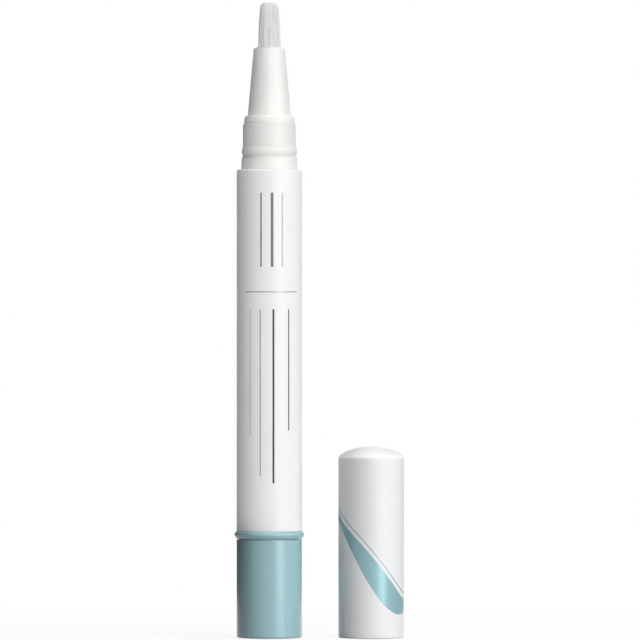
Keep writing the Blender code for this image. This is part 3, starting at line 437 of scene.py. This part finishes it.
rubber, tree, shader = new_material("seal_rubber")
where = add(tree, 'ShaderNodeTexCoord').outputs["Object"]
tree.links.new(blend_colours(tree, noise(tree, where, RUBBER_DRIFT), RUBBER, RUBBER_LIGHT),
               shader.inputs["Base Color"])
skin(tree, shader, where, grain=2500, height=0.02, roughness=(0.55, 0.7))
print("rubber:", rubber.name)

# %% The bristle
# The second nylon colour serves both the dark streaks and the painted shade on the right side.
NYLON, NYLON_STREAK_AND_SHADE = (0.95, 0.95, 0.95, 1), (0.7, 0.705, 0.71, 1)
STREAK_STRETCH, STREAK_GRAIN, STREAK_DETAIL = (1, 1, 0.03), 5200, 3.0
STREAK_FROM, STREAK_FULL = 0.42, 0.66
# Painted shade on the tuft's right side: where it starts and where it is full, in mm, and how
# dark it gets.
PAINTED_SHADE_FROM, PAINTED_SHADE_FULL, PAINTED_SHADE_SHARE = 0.4, 1.9, 0.9
NYLON_REACH = (0.8 * MM, 0.8 * MM, 0.8 * MM)

nylon, tree, shader = new_material("brush_nylon")
where = add(tree, 'ShaderNodeTexCoord').outputs["Object"]
streaks = noise(tree, stretched(tree, where, STREAK_STRETCH), STREAK_GRAIN, STREAK_DETAIL)
streaks_and_painted_shade = add(tree, 'ShaderNodeMapRange',
                   {"Value": streaks, "From Min": STREAK_FROM,
                    "From Max": STREAK_FULL}).outputs["Result"]
# Painted shade: the tuft is made darker towards its right side, by its X coordinate.
across = add(tree, 'ShaderNodeSeparateXYZ', {"Vector": where}).outputs["X"]
painted_shade_side = add(tree, 'ShaderNodeMapRange',
                {"Value": across, "From Min": PAINTED_SHADE_FROM * MM, "From Max": PAINTED_SHADE_FULL * MM,
                 "To Max": PAINTED_SHADE_SHARE}).outputs["Result"]
streaks_and_painted_shade = calc(tree, 'ADD', streaks_and_painted_shade, painted_shade_side)
tree.links.new(blend_colours(tree, streaks_and_painted_shade, NYLON, NYLON_STREAK_AND_SHADE),
               shader.inputs["Base Color"])
tree.links.new(spread(tree, streaks, 0.4, 0.55), shader.inputs["Roughness"])
shader.inputs["Specular IOR Level"].default_value = 0.2
shader.inputs["Subsurface Weight"].default_value = 0.15
shader.inputs["Subsurface Radius"].default_value = NYLON_REACH
shader.inputs["Subsurface Scale"].default_value = 1
print("bristle:", nylon.name)

# %% [markdown]
# The barrel
#
# A straight tube with an even wall.  Its rear bore is a little wider and has two shallow
# grooves that the bush and the nut snap into.  Both ends have the small round that keeps a
# moulding from chipping, and the rear end reaches down to the ring, so no dark gap shows.

# %% Draw the barrel
def groove(radius, middle, half=0.4, depth=0.15):
    """Three rings of a shallow snap groove, going up."""
    return [(radius, middle - half, 0), (radius + depth, middle, 0), (radius, middle + half, 0)]


REAR_BORE, RESERVOIR_BORE = 5.1, 5.0
BARREL_END = BARREL_FOOT - 0.06
nut_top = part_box("screw_nut")[1].z / MM
BUSH_SNAP, NUT_SNAP, STEP_LEVEL = BARREL_FOOT + 2.45, nut_top - 2.1, nut_top + 1.0
barrel_profile = [(RESERVOIR_BORE, BARREL_HEAD, 0.08),
                  (BARREL_RADIUS, BARREL_HEAD, 0.3),
                  (BARREL_RADIUS, BARREL_END, 0.05),
                  (REAR_BORE, BARREL_END, 0.08),
                  *groove(REAR_BORE, BUSH_SNAP), *groove(REAR_BORE, NUT_SNAP),
                  (REAR_BORE, STEP_LEVEL, 0), (RESERVOIR_BORE, STEP_LEVEL, 0)]
barrel = settle(draw_rings("barrel_tube", barrel_profile))
dress(barrel, barrel_plastic, "barrel", "white_gloss", "barrel")

# %% [markdown]
# The knob
#
# A cup that the fingers turn.  Its foot has a soft round and a shallow dish, so the pen
# stands on a rim, and the dish keeps the small stub where the plastic was fed into the mould.

# %% Draw the knob's cup
CUP_BORE, CUP_FLOOR, KNOB_RIM = 5.1, 1.2, knob_top + 0.06
DISH_EDGE, DISH_RADIUS, FOOT_DISH = 4.9, 4.7, 0.25
FEED_STUB, STUB_DRAFT, STUB_END, STUB_POLE = 0.7, 0.1, FOOT_DISH - 0.08, 0.2
knob_profile = [(POLE, CUP_FLOOR, 0), (CUP_BORE, CUP_FLOOR, 0.2), (CUP_BORE, KNOB_RIM, 0.05),
                (BARREL_RADIUS, KNOB_RIM, 0.06), (BARREL_RADIUS, 0.0, 0.4),
                (DISH_EDGE, 0.0, 0.08), (DISH_RADIUS, FOOT_DISH, 0.08),
                (FEED_STUB + STUB_DRAFT, FOOT_DISH, 0.03), (FEED_STUB, STUB_END, 0.03),
                (STUB_POLE, STUB_END, 0)]
knob = settle(draw_rings("knob_cup", knob_profile, hollow=False))
dress(knob, teal_plastic, "knob", "teal_gloss", "knob_shell")

# %% [markdown]
# The knob's core and ring
#
# The ring that shows above the knob is the rim of a longer piece.  Below it a spigot sits in
# the cup, and above it a journal with a barb turns in the barrel.  The ring is a sine drawn
# between its two ends, skewed a little so that it is fullest above its middle.  A six-sided
# socket inside grips the drive sleeve, and a Boolean cuts that, because turning can't.

# %% Draw the core and cut its socket
def swell(bottom, top, rise, steps, skew=1.0):
    """Rings of a rounded swelling from the (radius, height) of its top down to its bottom."""
    rings = []
    for step in range(steps + 1):
        share = step / steps
        radius = top[0] + (bottom[0] - top[0]) * share
        height = top[1] + (bottom[1] - top[1]) * share
        rings.append((radius + rise * math.sin(math.pi * share ** skew), height, 0))
    return rings


CORE_BORE, JOURNAL, CORE_SPIGOT, COUNTERBORE = 2.95, 4.25, 5.05, 4.15
RING_FOOT, RING_HEAD, RING_RISE, RING_SKEW = knob_top + 0.2, BARREL_FOOT - 0.1, 0.4, 0.8
RING_STEPS = 16
SOCKET_FLOOR, SOCKET_CORNER, SOCKET_HEIGHT, SOCKET_SUNK = 14.0, 3.94, 4.4, 0.4
core_foot, core_top = (corner.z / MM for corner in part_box("knob_core"))
BARB, BARB_FOOT = 4.5, core_top - 1.1
core_profile = [(CORE_BORE, core_top, 0.1), (JOURNAL, core_top, 0.1), (BARB, BARB_FOOT, 0.05),
                (JOURNAL, BARB_FOOT, 0), (JOURNAL, RING_HEAD, 0),
                *swell((BARREL_RADIUS, RING_FOOT), (BARREL_RADIUS, RING_HEAD), RING_RISE,
                       RING_STEPS, RING_SKEW),
                (CORE_SPIGOT, RING_FOOT, 0), (CORE_SPIGOT, core_foot, 0.15),
                (COUNTERBORE, core_foot, 0.1), (COUNTERBORE, SOCKET_FLOOR, 0),
                (CORE_BORE, SOCKET_FLOOR, 0)]
core = draw_rings("knob_ring_core", core_profile)
clear_selection()
socket_middle = SOCKET_FLOOR - SOCKET_SUNK + SOCKET_HEIGHT / 2
bpy.ops.mesh.primitive_cylinder_add(vertices=6, radius=SOCKET_CORNER * MM,
                                    depth=SOCKET_HEIGHT * MM,
                                    location=(0, 0, socket_middle * MM),
                                    rotation=(0, 0, math.radians(30)))
socket = bpy.context.object
only(core)
cut = core.modifiers.new("hex_socket", 'BOOLEAN')
cut.operation = 'DIFFERENCE'
cut.object = socket
bpy.ops.object.modifier_apply(modifier=cut.name)
bpy.data.objects.remove(socket, do_unlink=True)
settle(core)
dress(core, teal_plastic, "knob", "teal_gloss", "knob_core")

# %% [markdown]
# The neck
#
# One moulding closes the reservoir and carries everything above it: a plug in the barrel
# with a gland for its rubber ring, a collar, a snap bead that holds the cap, and the neck.
# The groove under the bead is a little narrower than the neck, and the cap's rib snaps in it.

# %% Draw the neck
NECK, NECK_BORE, PLUG, GLAND = 4.86, 3.91, 4.95, 4.24
COLLAR_TOP_RADIUS, COLLAR_FOOT_RADIUS, BEAD_RISE, BEAD_STEPS = 5.07, 5.18, 0.26, 12
seal_low, seal_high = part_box("neck_seal")
PLUG_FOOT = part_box("neck_fitment")[0].z / MM
GLAND_MIDDLE, GLAND_HALF = (seal_low.z + seal_high.z) / 2 / MM, 0.38
COLLAR_FOOT, COLLAR_TOP, LEDGE_TOP = BARREL_HEAD + 0.05, neck_top - 6.1, neck_top + 0.12
GROOVE, BEAD_FOOT, BEAD_TOP = 4.82, neck_top - 5.75, neck_top - 4
neck_profile = [(NECK_BORE, LEDGE_TOP, 0.06), (NECK, LEDGE_TOP, 0.18),
                *swell((GROOVE, BEAD_FOOT), (NECK, BEAD_TOP), BEAD_RISE, BEAD_STEPS),
                (COLLAR_TOP_RADIUS, COLLAR_TOP, 0.12), (COLLAR_FOOT_RADIUS, COLLAR_FOOT, 0.05),
                (PLUG, COLLAR_FOOT, 0),
                (PLUG, GLAND_MIDDLE + GLAND_HALF, 0.05), (GLAND, GLAND_MIDDLE + GLAND_HALF, 0),
                (GLAND, GLAND_MIDDLE - GLAND_HALF, 0), (PLUG, GLAND_MIDDLE - GLAND_HALF, 0.05),
                (PLUG, PLUG_FOOT, 0.15), (NECK_BORE, PLUG_FOOT, 0.05)]
neck = settle(draw_rings("neck_moulding", neck_profile))
dress(neck, neck_plastic, "barrel", "warm_white", "neck_fitment")

# %% [markdown]
# The nozzle
#
# A flange rests on the neck, a ledge steps in, and a long taper runs up to a rounded rim
# round the brush.  The spigot below goes into the neck, and a seat inside stops the brush.

# %% Draw the nozzle
FLANGE_FOOT, FLANGE_TOP = LEDGE_TOP + 0.03, neck_top + 1.65
FLANGE_FOOT_RADIUS, FLANGE_TOP_RADIUS, TAPER_FOOT_RADIUS, RIM_RADIUS = 4.66, 4.55, 3.98, 2.85
MOUTH, SPIGOT, NOZZLE_BORE, SEAT_LEVEL = 2.2, 3.86, 2.75, nozzle_top - 3.8
nozzle_profile = [(MOUTH, nozzle_top, 0.1), (RIM_RADIUS, nozzle_top, 0.5),
                  (TAPER_FOOT_RADIUS, FLANGE_TOP, 0.05), (FLANGE_TOP_RADIUS, FLANGE_TOP, 0.42),
                  (FLANGE_FOOT_RADIUS, FLANGE_FOOT, 0.02), (SPIGOT, FLANGE_FOOT, 0),
                  (SPIGOT, nozzle_foot, 0.15), (NOZZLE_BORE, nozzle_foot, 0.08),
                  (NOZZLE_BORE, SEAT_LEVEL, 0), (MOUTH, SEAT_LEVEL, 0)]
nozzle = settle(draw_rings("nozzle_taper", nozzle_profile))
dress(nozzle, neck_plastic, "barrel", "warm_white", "nozzle")

# %% [markdown]
# The cap
#
# A round-topped tube with a crisp edge where the dome meets the wall.  The dome's height is a
# blend of a cosine and its square, over somewhat less than a quarter turn, and the blend says
# how full it is below its crown.  The cap's mouth is lightly rounded, and a low rib inside
# snaps into the groove under the pen's bead.

# %% Draw the cap
DOME_TURN, FULLNESS = math.radians(72), 0.62


def dome(radius, foot, rise, steps, rim_round=0, smallest=0.05):
    """Rings of a dome, going down from its crown to its rim."""
    rings = []
    for step in range(steps):
        turn = DOME_TURN * step / (steps - 1)
        swelling = math.cos(turn)
        rings.append((max(radius * math.sin(turn), smallest),
                      foot + rise * swelling * (FULLNESS + (1 - FULLNESS) * swelling), 0))
    return [*rings, (radius, foot, rim_round)]


CAP_RADIUS, CAP_BORE = (cap_high.x - cap_low.x) / 2 / MM, 5.19
CREASE, CREASE_ROUND, CAP_RISE = cap_top - 2.2, 0.05, 2.11
CROWN_WALL, INNER_RISE = 1.0, 1.32
SPRING_LEVEL = cap_top - CROWN_WALL - INNER_RISE
RIB_MIDDLE, RIB_HALF, RIB_DEPTH = 2.5, 0.3, 0.15
outer = dome(CAP_RADIUS, CREASE, CAP_RISE, 20, CREASE_ROUND)
inner = dome(CAP_BORE, SPRING_LEVEL, INNER_RISE, 12)
rib = [(CAP_BORE, RIB_MIDDLE - RIB_HALF, 0), (CAP_BORE - RIB_DEPTH, RIB_MIDDLE, 0),
       (CAP_BORE, RIB_MIDDLE + RIB_HALF, 0)]
cap_profile = [*outer, (CAP_RADIUS, 0.0, 0.3), (CAP_BORE, 0.0, 0.12), *rib, *reversed(inner)]
cap = settle(draw_rings("cap_shell", cap_profile, axis=CAP_AXIS, hollow=False))
dress(cap, cap_plastic, "cap", "white_gloss", "cap")

# %% [markdown]
# The cap's liner
#
# A second, thinner cap is pressed inside the first.  Its mouth closes on the nozzle's flange,
# so the liquid can't dry out, and its length makes room for the brush.

# %% Draw the liner
liner_foot, liner_top = (corner.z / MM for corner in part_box("cap_liner"))
LINER_RADIUS, LINER_MOUTH, LINER_BORE, MOUTH_STEP = 5.14, 4.6, 4.19, liner_foot + 2.0
LINER_CROWN, LINER_ROUND, LEAD_IN = 0.8, 0.8, 0.25
liner_profile = [(POLE, liner_top, 0), (LINER_RADIUS, liner_top, LINER_ROUND),
                 (LINER_RADIUS, liner_foot, 0.06), (LINER_MOUTH + LEAD_IN, liner_foot, 0.05),
                 (LINER_MOUTH, liner_foot + LEAD_IN, 0), (LINER_MOUTH, MOUTH_STEP, 0),
                 (LINER_BORE, MOUTH_STEP + LEAD_IN, 0),
                 (LINER_BORE, liner_top - LINER_CROWN, LINER_ROUND),
                 (POLE, liner_top - LINER_CROWN, 0)]
liner = settle(draw_rings("cap_inner", liner_profile, axis=CAP_AXIS, hollow=False))
dress(liner, inner_plastic, "cap", "natural_white", "cap_liner")

# %% [markdown]
# The brush
#
# Several hundred nylon strands are fused to a disc at their root.  One strand is modelled,
# then copied to places on an even spiral.  Wet strands cling to each other, so towards the
# tip each one leans a little to the middle of its clump, which opens the fine dark streaks
# that a real brush shows.  The tip is trimmed nearly flat, rounded on the left and cut
# slantwise on the right.

# %% Model one strand
STRANDS, STRAND_SIDES, STRAND_RINGS = 680, 5, 6
ROOT_LEVEL, ROOT_SPREAD, TIP_SPREAD = nozzle_top - 4.2, 2.11, 1.74
STRAND_ROOT, STRAND_TIP, TRIM_SCATTER = 0.078, 0.066, 0.12
GOLDEN_TURN = math.pi * (3 - math.sqrt(5))

clear_selection()
bpy.ops.mesh.primitive_circle_add(vertices=STRAND_SIDES, radius=1, location=(0, 0, 0))
strand = bpy.context.object
bpy.ops.object.mode_set(mode='EDIT')
bpy.ops.mesh.select_all(action='SELECT')
for _ in range(STRAND_RINGS):
    bpy.ops.mesh.extrude_region_move(TRANSFORM_OT_translate={"value": (0, 0, 1 / STRAND_RINGS)})
bpy.ops.mesh.select_all(action='SELECT')
bpy.ops.mesh.fill_holes(sides=0)
bpy.ops.mesh.normals_make_consistent(inside=False)
bpy.ops.object.mode_set(mode='OBJECT')
print("one strand:", len(strand.data.polygons), "faces")

# %% Places, clumps and the trimmed tip
draw = random.Random(7)
clumps = [(0.24, -1.5), (-0.75, -1.5), (-1.75, -0.7), (0.8, -1.45), (1.34, -1.1),
          (1.75, -0.2), (0.3, -0.4), (-0.8, -0.1), (1.0, 0.7), (-0.2, 0.9), (-1.4, 0.9),
          (0.6, 1.7), (-0.7, 1.8), (1.6, 1.1)]
CLUMP_PULL, TAPER_POWER, TIP_CLEAR = 0.13, 2.2, 0.02
SHOULDER, SHOULDER_REACH, SHOULDER_DROP = 1.15, 0.62, 0.9
SLANT_FROM, SLANT, NOTCH_MIDDLE, NOTCH_HALF, NOTCH_DROP = 1.1, 0.5, 0.75, 0.13, 0.3


def tip_level(x, y):
    """Height of the trimmed tip above a place in mm: round shoulders, a slant and a notch."""
    level = brush_tip - TIP_CLEAR
    level -= SHOULDER_DROP * max(0, (math.hypot(x, y) - SHOULDER) / SHOULDER_REACH) ** 2
    level -= SLANT * max(0, x - SLANT_FROM)
    if abs(x - NOTCH_MIDDLE) < NOTCH_HALF:
        level -= NOTCH_DROP
    return level


def lean(place, share):
    """Where a strand's centre is at a share of its length."""
    x, y = place
    shrink = 1 - (1 - TIP_SPREAD / ROOT_SPREAD) * share ** TAPER_POWER
    clump = min(clumps, key=lambda middle: math.hypot(x - middle[0], y - middle[1]))
    pull = CLUMP_PULL * share ** 2
    return Vector(((x + (clump[0] - x) * pull) * shrink, (y + (clump[1] - y) * pull) * shrink))


places = []
for index in range(STRANDS):
    radius = ROOT_SPREAD * math.sqrt((index + 0.5) / STRANDS)
    turn = GOLDEN_TURN * index
    places.append((radius * math.cos(turn), radius * math.sin(turn)))
print(len(places), "strands in", len(clumps), "clumps")

# %% Copy the strand to every place
copies = []
for index, place in enumerate(places):
    copy = strand.copy()
    copy.data = strand.data.copy()
    bpy.context.scene.collection.objects.link(copy)
    crown = lean(place, 1)
    top = tip_level(*crown) - TRIM_SCATTER * draw.random() ** 2
    spin = draw.uniform(0, math.tau)
    for vertex in copy.data.vertices:
        share = vertex.co.z
        middle = lean(place, share)
        thick = STRAND_ROOT + (STRAND_TIP - STRAND_ROOT) * share
        turn = math.atan2(vertex.co.y, vertex.co.x) + spin
        vertex.co = Vector((middle.x + thick * math.cos(turn), middle.y + thick * math.sin(turn),
                            ROOT_LEVEL + (top - ROOT_LEVEL) * share)) * MM
    copies.append(copy)
bpy.data.objects.remove(strand, do_unlink=True)
print(len(copies), "strands copied")

# %% Draw the disc and join the tuft to it
DISC_BORE, DISC_RADIUS, DISC_TOP, DISC_ROUND = 0.45, 2.7, brush_foot + 1.2, 0.08
disc_profile = [(DISC_BORE, DISC_TOP, 0), (DISC_RADIUS, DISC_TOP, DISC_ROUND),
                (DISC_RADIUS, brush_foot, DISC_ROUND), (DISC_BORE, brush_foot, 0)]
disc = draw_rings("brush_tuft", disc_profile, points=64)
clear_selection()
for copy in copies:
    copy.select_set(True)
disc.select_set(True)
bpy.context.view_layer.objects.active = disc
bpy.ops.object.join()
tuft = settle(disc, angle=60)
dress(tuft, nylon, "barrel", "bristle", "brush")

# %% [markdown]
# The mechanism inside
#
# The bush, nut, sleeve, pawl, rod, piston and feed pieces are right as the CAD model has
# them, so they stay, and take a finish that suits them: bare natural plastic, white plastic
# for the piston, and rubber for the seals.

# %% Finish the CAD nodes that stay
INSIDE = {inner_plastic: ["tail_bush", "screw_nut", "feed_plug", "feed_pipe", "drive_sleeve",
                          "ratchet_pawl", "screw_rod"],
          neck_plastic: ["piston"],
          rubber: ["neck_seal", "piston_seal"]}
for material, names in INSIDE.items():
    for name in names:
        for material_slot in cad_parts[name].material_slots:
            material_slot.material = material
    print(material.name, "on", ", ".join(names))

# %% [markdown]
# The camera
#
# The photograph is level, taken from far away with a long lens, so the pen's sides stay
# parallel and the ellipses at its foot and top are very flat.  The camera stands at the
# height of the middle of the picture and looks straight along +Y.  The pixel column of the
# pen's axis and the pixel row of its foot, with the pixels in a millimetre, give its place.

# %% Place the camera
PICTURE, PEN_COLUMN, FOOT_ROW, PIXELS_PER_MM = 640, 269.3, 637.6, 5.433
SENSOR_WIDTH, CAMERA_AWAY = 36, 1.38
CAMERA_X = (PICTURE / 2 - PEN_COLUMN) / PIXELS_PER_MM * MM
CAMERA_Z = (FOOT_ROW - PICTURE / 2) / PIXELS_PER_MM * MM
camera_data = bpy.data.cameras.new("camera")
camera_data.sensor_width = SENSOR_WIDTH
camera_data.lens = SENSOR_WIDTH * PIXELS_PER_MM * CAMERA_AWAY / MM / PICTURE
camera_data.clip_start, camera_data.clip_end = 0.01, 20
camera = bpy.data.objects.new("camera", camera_data)
bpy.context.scene.collection.objects.link(camera)
camera.location = (CAMERA_X, -CAMERA_AWAY, CAMERA_Z)
camera.rotation_euler = (math.pi / 2, 0, 0)
bpy.context.scene.camera = camera
print(f"lens {camera_data.lens:.0f} mm at {CAMERA_AWAY} m")

# %% [markdown]
# Light
#
# A round wall shows a lamp as an upright band, and its place on the wall says from which
# angle the lamp shines.  So every lamp is placed by its angle to the right of the camera.
# Two at the front right give the bright band and a third, further round, gives the even
# right side.  One beside the camera fills, and one overhead lights the dome and the ledges.
# Two behind lift the far edges and the floor; reflections don't see them, or they would draw
# bands of their own.

# %% The soft lamps
def soft_lamp(name, angle, away, height, size, power):
    """A rectangular lamp aimed at the pen from an angle right of the camera."""
    data = bpy.data.lights.new(name, 'AREA')
    data.shape = 'RECTANGLE'
    data.size, data.size_y = size
    data.energy = power
    lamp = bpy.data.objects.new(name, data)
    bpy.context.scene.collection.objects.link(lamp)
    turn = math.radians(angle)
    lamp.location = (CAMERA_X + away * math.sin(turn), -away * math.cos(turn), height)
    aim = Vector((CAMERA_X, 0, CAMERA_Z)) - lamp.location
    lamp.rotation_euler = aim.to_track_quat('-Z', 'Y').to_euler()
    lamp.visible_camera = False
    return lamp


WIDE = (0.6, 0.2)
soft_lamp("key_strip", 39, 0.8, 0.1, (0.42, 0.2), 2.4)
for name, angle, power in (("main_lamp", 31, 1.5), ("side_lamp", 65, 3.1),
                           ("front_lamp", 5, 2.6)):
    soft_lamp(name, angle, 1.0, 0.32, WIDE, power)
soft_lamp("top_lamp", 0, 0.05, 1.0, (0.45, 0.45), 4.9)
for name, angle, power in (("back_left_lamp", 193, 6.0), ("back_right_lamp", 152, 4.0)):
    soft_lamp(name, angle, 1.0, 0.18, (0.6, 0.3), power).visible_glossy = False
print("soft lamps:", [lamp.name for lamp in bpy.data.lights])

# %% [markdown]
# A lamp with a grid
#
# The pen's white part is lighter on its shaded left side than its knob is.  A photographer
# would put a small lamp there with a grid before it, which lets the light out straight ahead
# only.  This one is as tall as the white part and as narrow as the pen, its beam spreads by a
# few degrees, and so it lights neither the knob below nor the cap beside.

# %% The lamp with a grid
GRID_ANGLE, GRID_AWAY, GRID_MIDDLE, GRID_SIZE = -57, 0.1, 0.0765, (0.013, 0.112)
GRID_POWER, GRID_SHIFT, GRID_BEAM = 0.0011, 0.001, math.radians(5)

grid_lamp = soft_lamp("grid_lamp", GRID_ANGLE, GRID_AWAY, GRID_MIDDLE, GRID_SIZE, GRID_POWER)
grid_lamp.rotation_euler = (math.pi / 2, 0, math.radians(GRID_ANGLE))
grid_lamp.location.x -= CAMERA_X + GRID_SHIFT
grid_lamp.data.spread = GRID_BEAM
grid_lamp.visible_glossy = False
print(f"{grid_lamp.name}: {GRID_POWER} W")

# %% [markdown]
# Two dark cards
#
# Plastic reflects the white surroundings most where it turns away from the eye, which would
# wash out the pen's edges.  A near-black card on the left and a dark grey one on the right
# stand where the edges look, as a photographer's flags do.  Only reflections see them.

# %% The dark cards
def dark_card(name, angle, away, size, grey):
    """A card beside the pen that only reflections see, as a photographer's flag."""
    clear_selection()
    turn = math.radians(angle)
    bpy.ops.mesh.primitive_plane_add(
        size=1, rotation=(math.pi / 2, 0, turn),
        location=(CAMERA_X + away * math.sin(turn), -away * math.cos(turn), size[1] / 2))
    card = bpy.context.object
    card.name = name
    card.scale = (size[0], size[1], 1)
    material, tree, shader = new_material(name)
    shader.inputs["Base Color"].default_value = (0, 0, 0, 1)
    shader.inputs["Specular IOR Level"].default_value = 0
    shader.inputs["Emission Color"].default_value = (1, 1, 1, 1)
    shader.inputs["Emission Strength"].default_value = grey
    card.data.materials.append(material)
    card.visible_camera = card.visible_diffuse = card.visible_shadow = False


CARD_AWAY = 0.15
dark_card("left_card", -120, CARD_AWAY, (0.46, 0.3), 0.04)
dark_card("right_card", 127, CARD_AWAY, (0.28, 0.3), 0.2)
print("dark cards placed")

# %% [markdown]
# The world
#
# The camera and reflections see a plain white world, while it lights the pen only faintly,
# so that the lamps alone shape it.  Light Path tells the two kinds of ray apart.

# %% Set the world
WORLD_GLOW = 0.03


def seen_directly(tree):
    """1 for rays from the camera, reflections and glass, and 0 for light that falls."""
    ray = add(tree, 'ShaderNodeLightPath').outputs
    return calc(tree, 'MAXIMUM', ray["Is Camera Ray"],
                calc(tree, 'MAXIMUM', ray["Is Glossy Ray"], ray["Is Transmission Ray"]))


world = bpy.data.worlds.new("studio")
bpy.context.scene.world = world
world.use_nodes = True
tree = world.node_tree
background = tree.nodes["Background"]
seen = seen_directly(tree)
background.inputs["Color"].default_value = (1, 1, 1, 1)
tree.links.new(spread(tree, seen, WORLD_GLOW, 1.0), background.inputs["Strength"])
print("world:", world.name)

# %% [markdown]
# The floor
#
# A pale floor runs out of sight.  Near the pen, four fifths of what the camera sees of it is
# plain white and the rest is a diffuse surface that takes the soft shadows.  The plain share
# grows with the distance until the floor melts into the white behind it.  To the light that
# bounces, the floor is dark, so that it doesn't light the pen from below.

# %% Lay the floor
FLOOR_REACH, FLOOR_DROP, FLOOR_BOUNCE = 4.0, 0.02, 0.12
PLAIN_NEAR, FADE_FROM, FADE_TO = 0.8, 0.03, 0.16
clear_selection()
bpy.ops.mesh.primitive_plane_add(size=2 * FLOOR_REACH, location=(0, 0, -FLOOR_DROP * MM))
floor = bpy.context.object
floor.name = "floor"
floor_white, tree, shader = new_material("floor_white")
shader.inputs["Roughness"].default_value = 0.9
seen = seen_directly(tree)
where = add(tree, 'ShaderNodeTexCoord').outputs["Object"]
away = add(tree, 'ShaderNodeVectorMath', {0: where}, operation='LENGTH').outputs["Value"]
tree.links.new(spread(tree, seen, FLOOR_BOUNCE, 1.0), shader.inputs["Base Color"])
fade = add(tree, 'ShaderNodeMapRange', {"Value": away, "From Min": FADE_FROM,
                                        "From Max": FADE_TO, "To Min": PLAIN_NEAR,
                                        "To Max": 1.0}).outputs["Result"]
plain = add(tree, 'ShaderNodeEmission', {"Color": (1, 1, 1, 1), "Strength": 1.0})
share = calc(tree, 'MULTIPLY', seen, fade)
mixed = add(tree, 'ShaderNodeMixShader', {0: share, 1: shader.outputs["BSDF"],
                                          2: plain.outputs["Emission"]})
tree.links.new(mixed.outputs["Shader"], tree.nodes["Material Output"].inputs["Surface"])
floor.data.materials.append(floor_white)
print("floor laid")

# %% [markdown]
# Close the scene
#
# The view stays plain, so that colours render as they are written.

# %% View settings
bpy.context.scene.view_settings.view_transform = 'Standard'
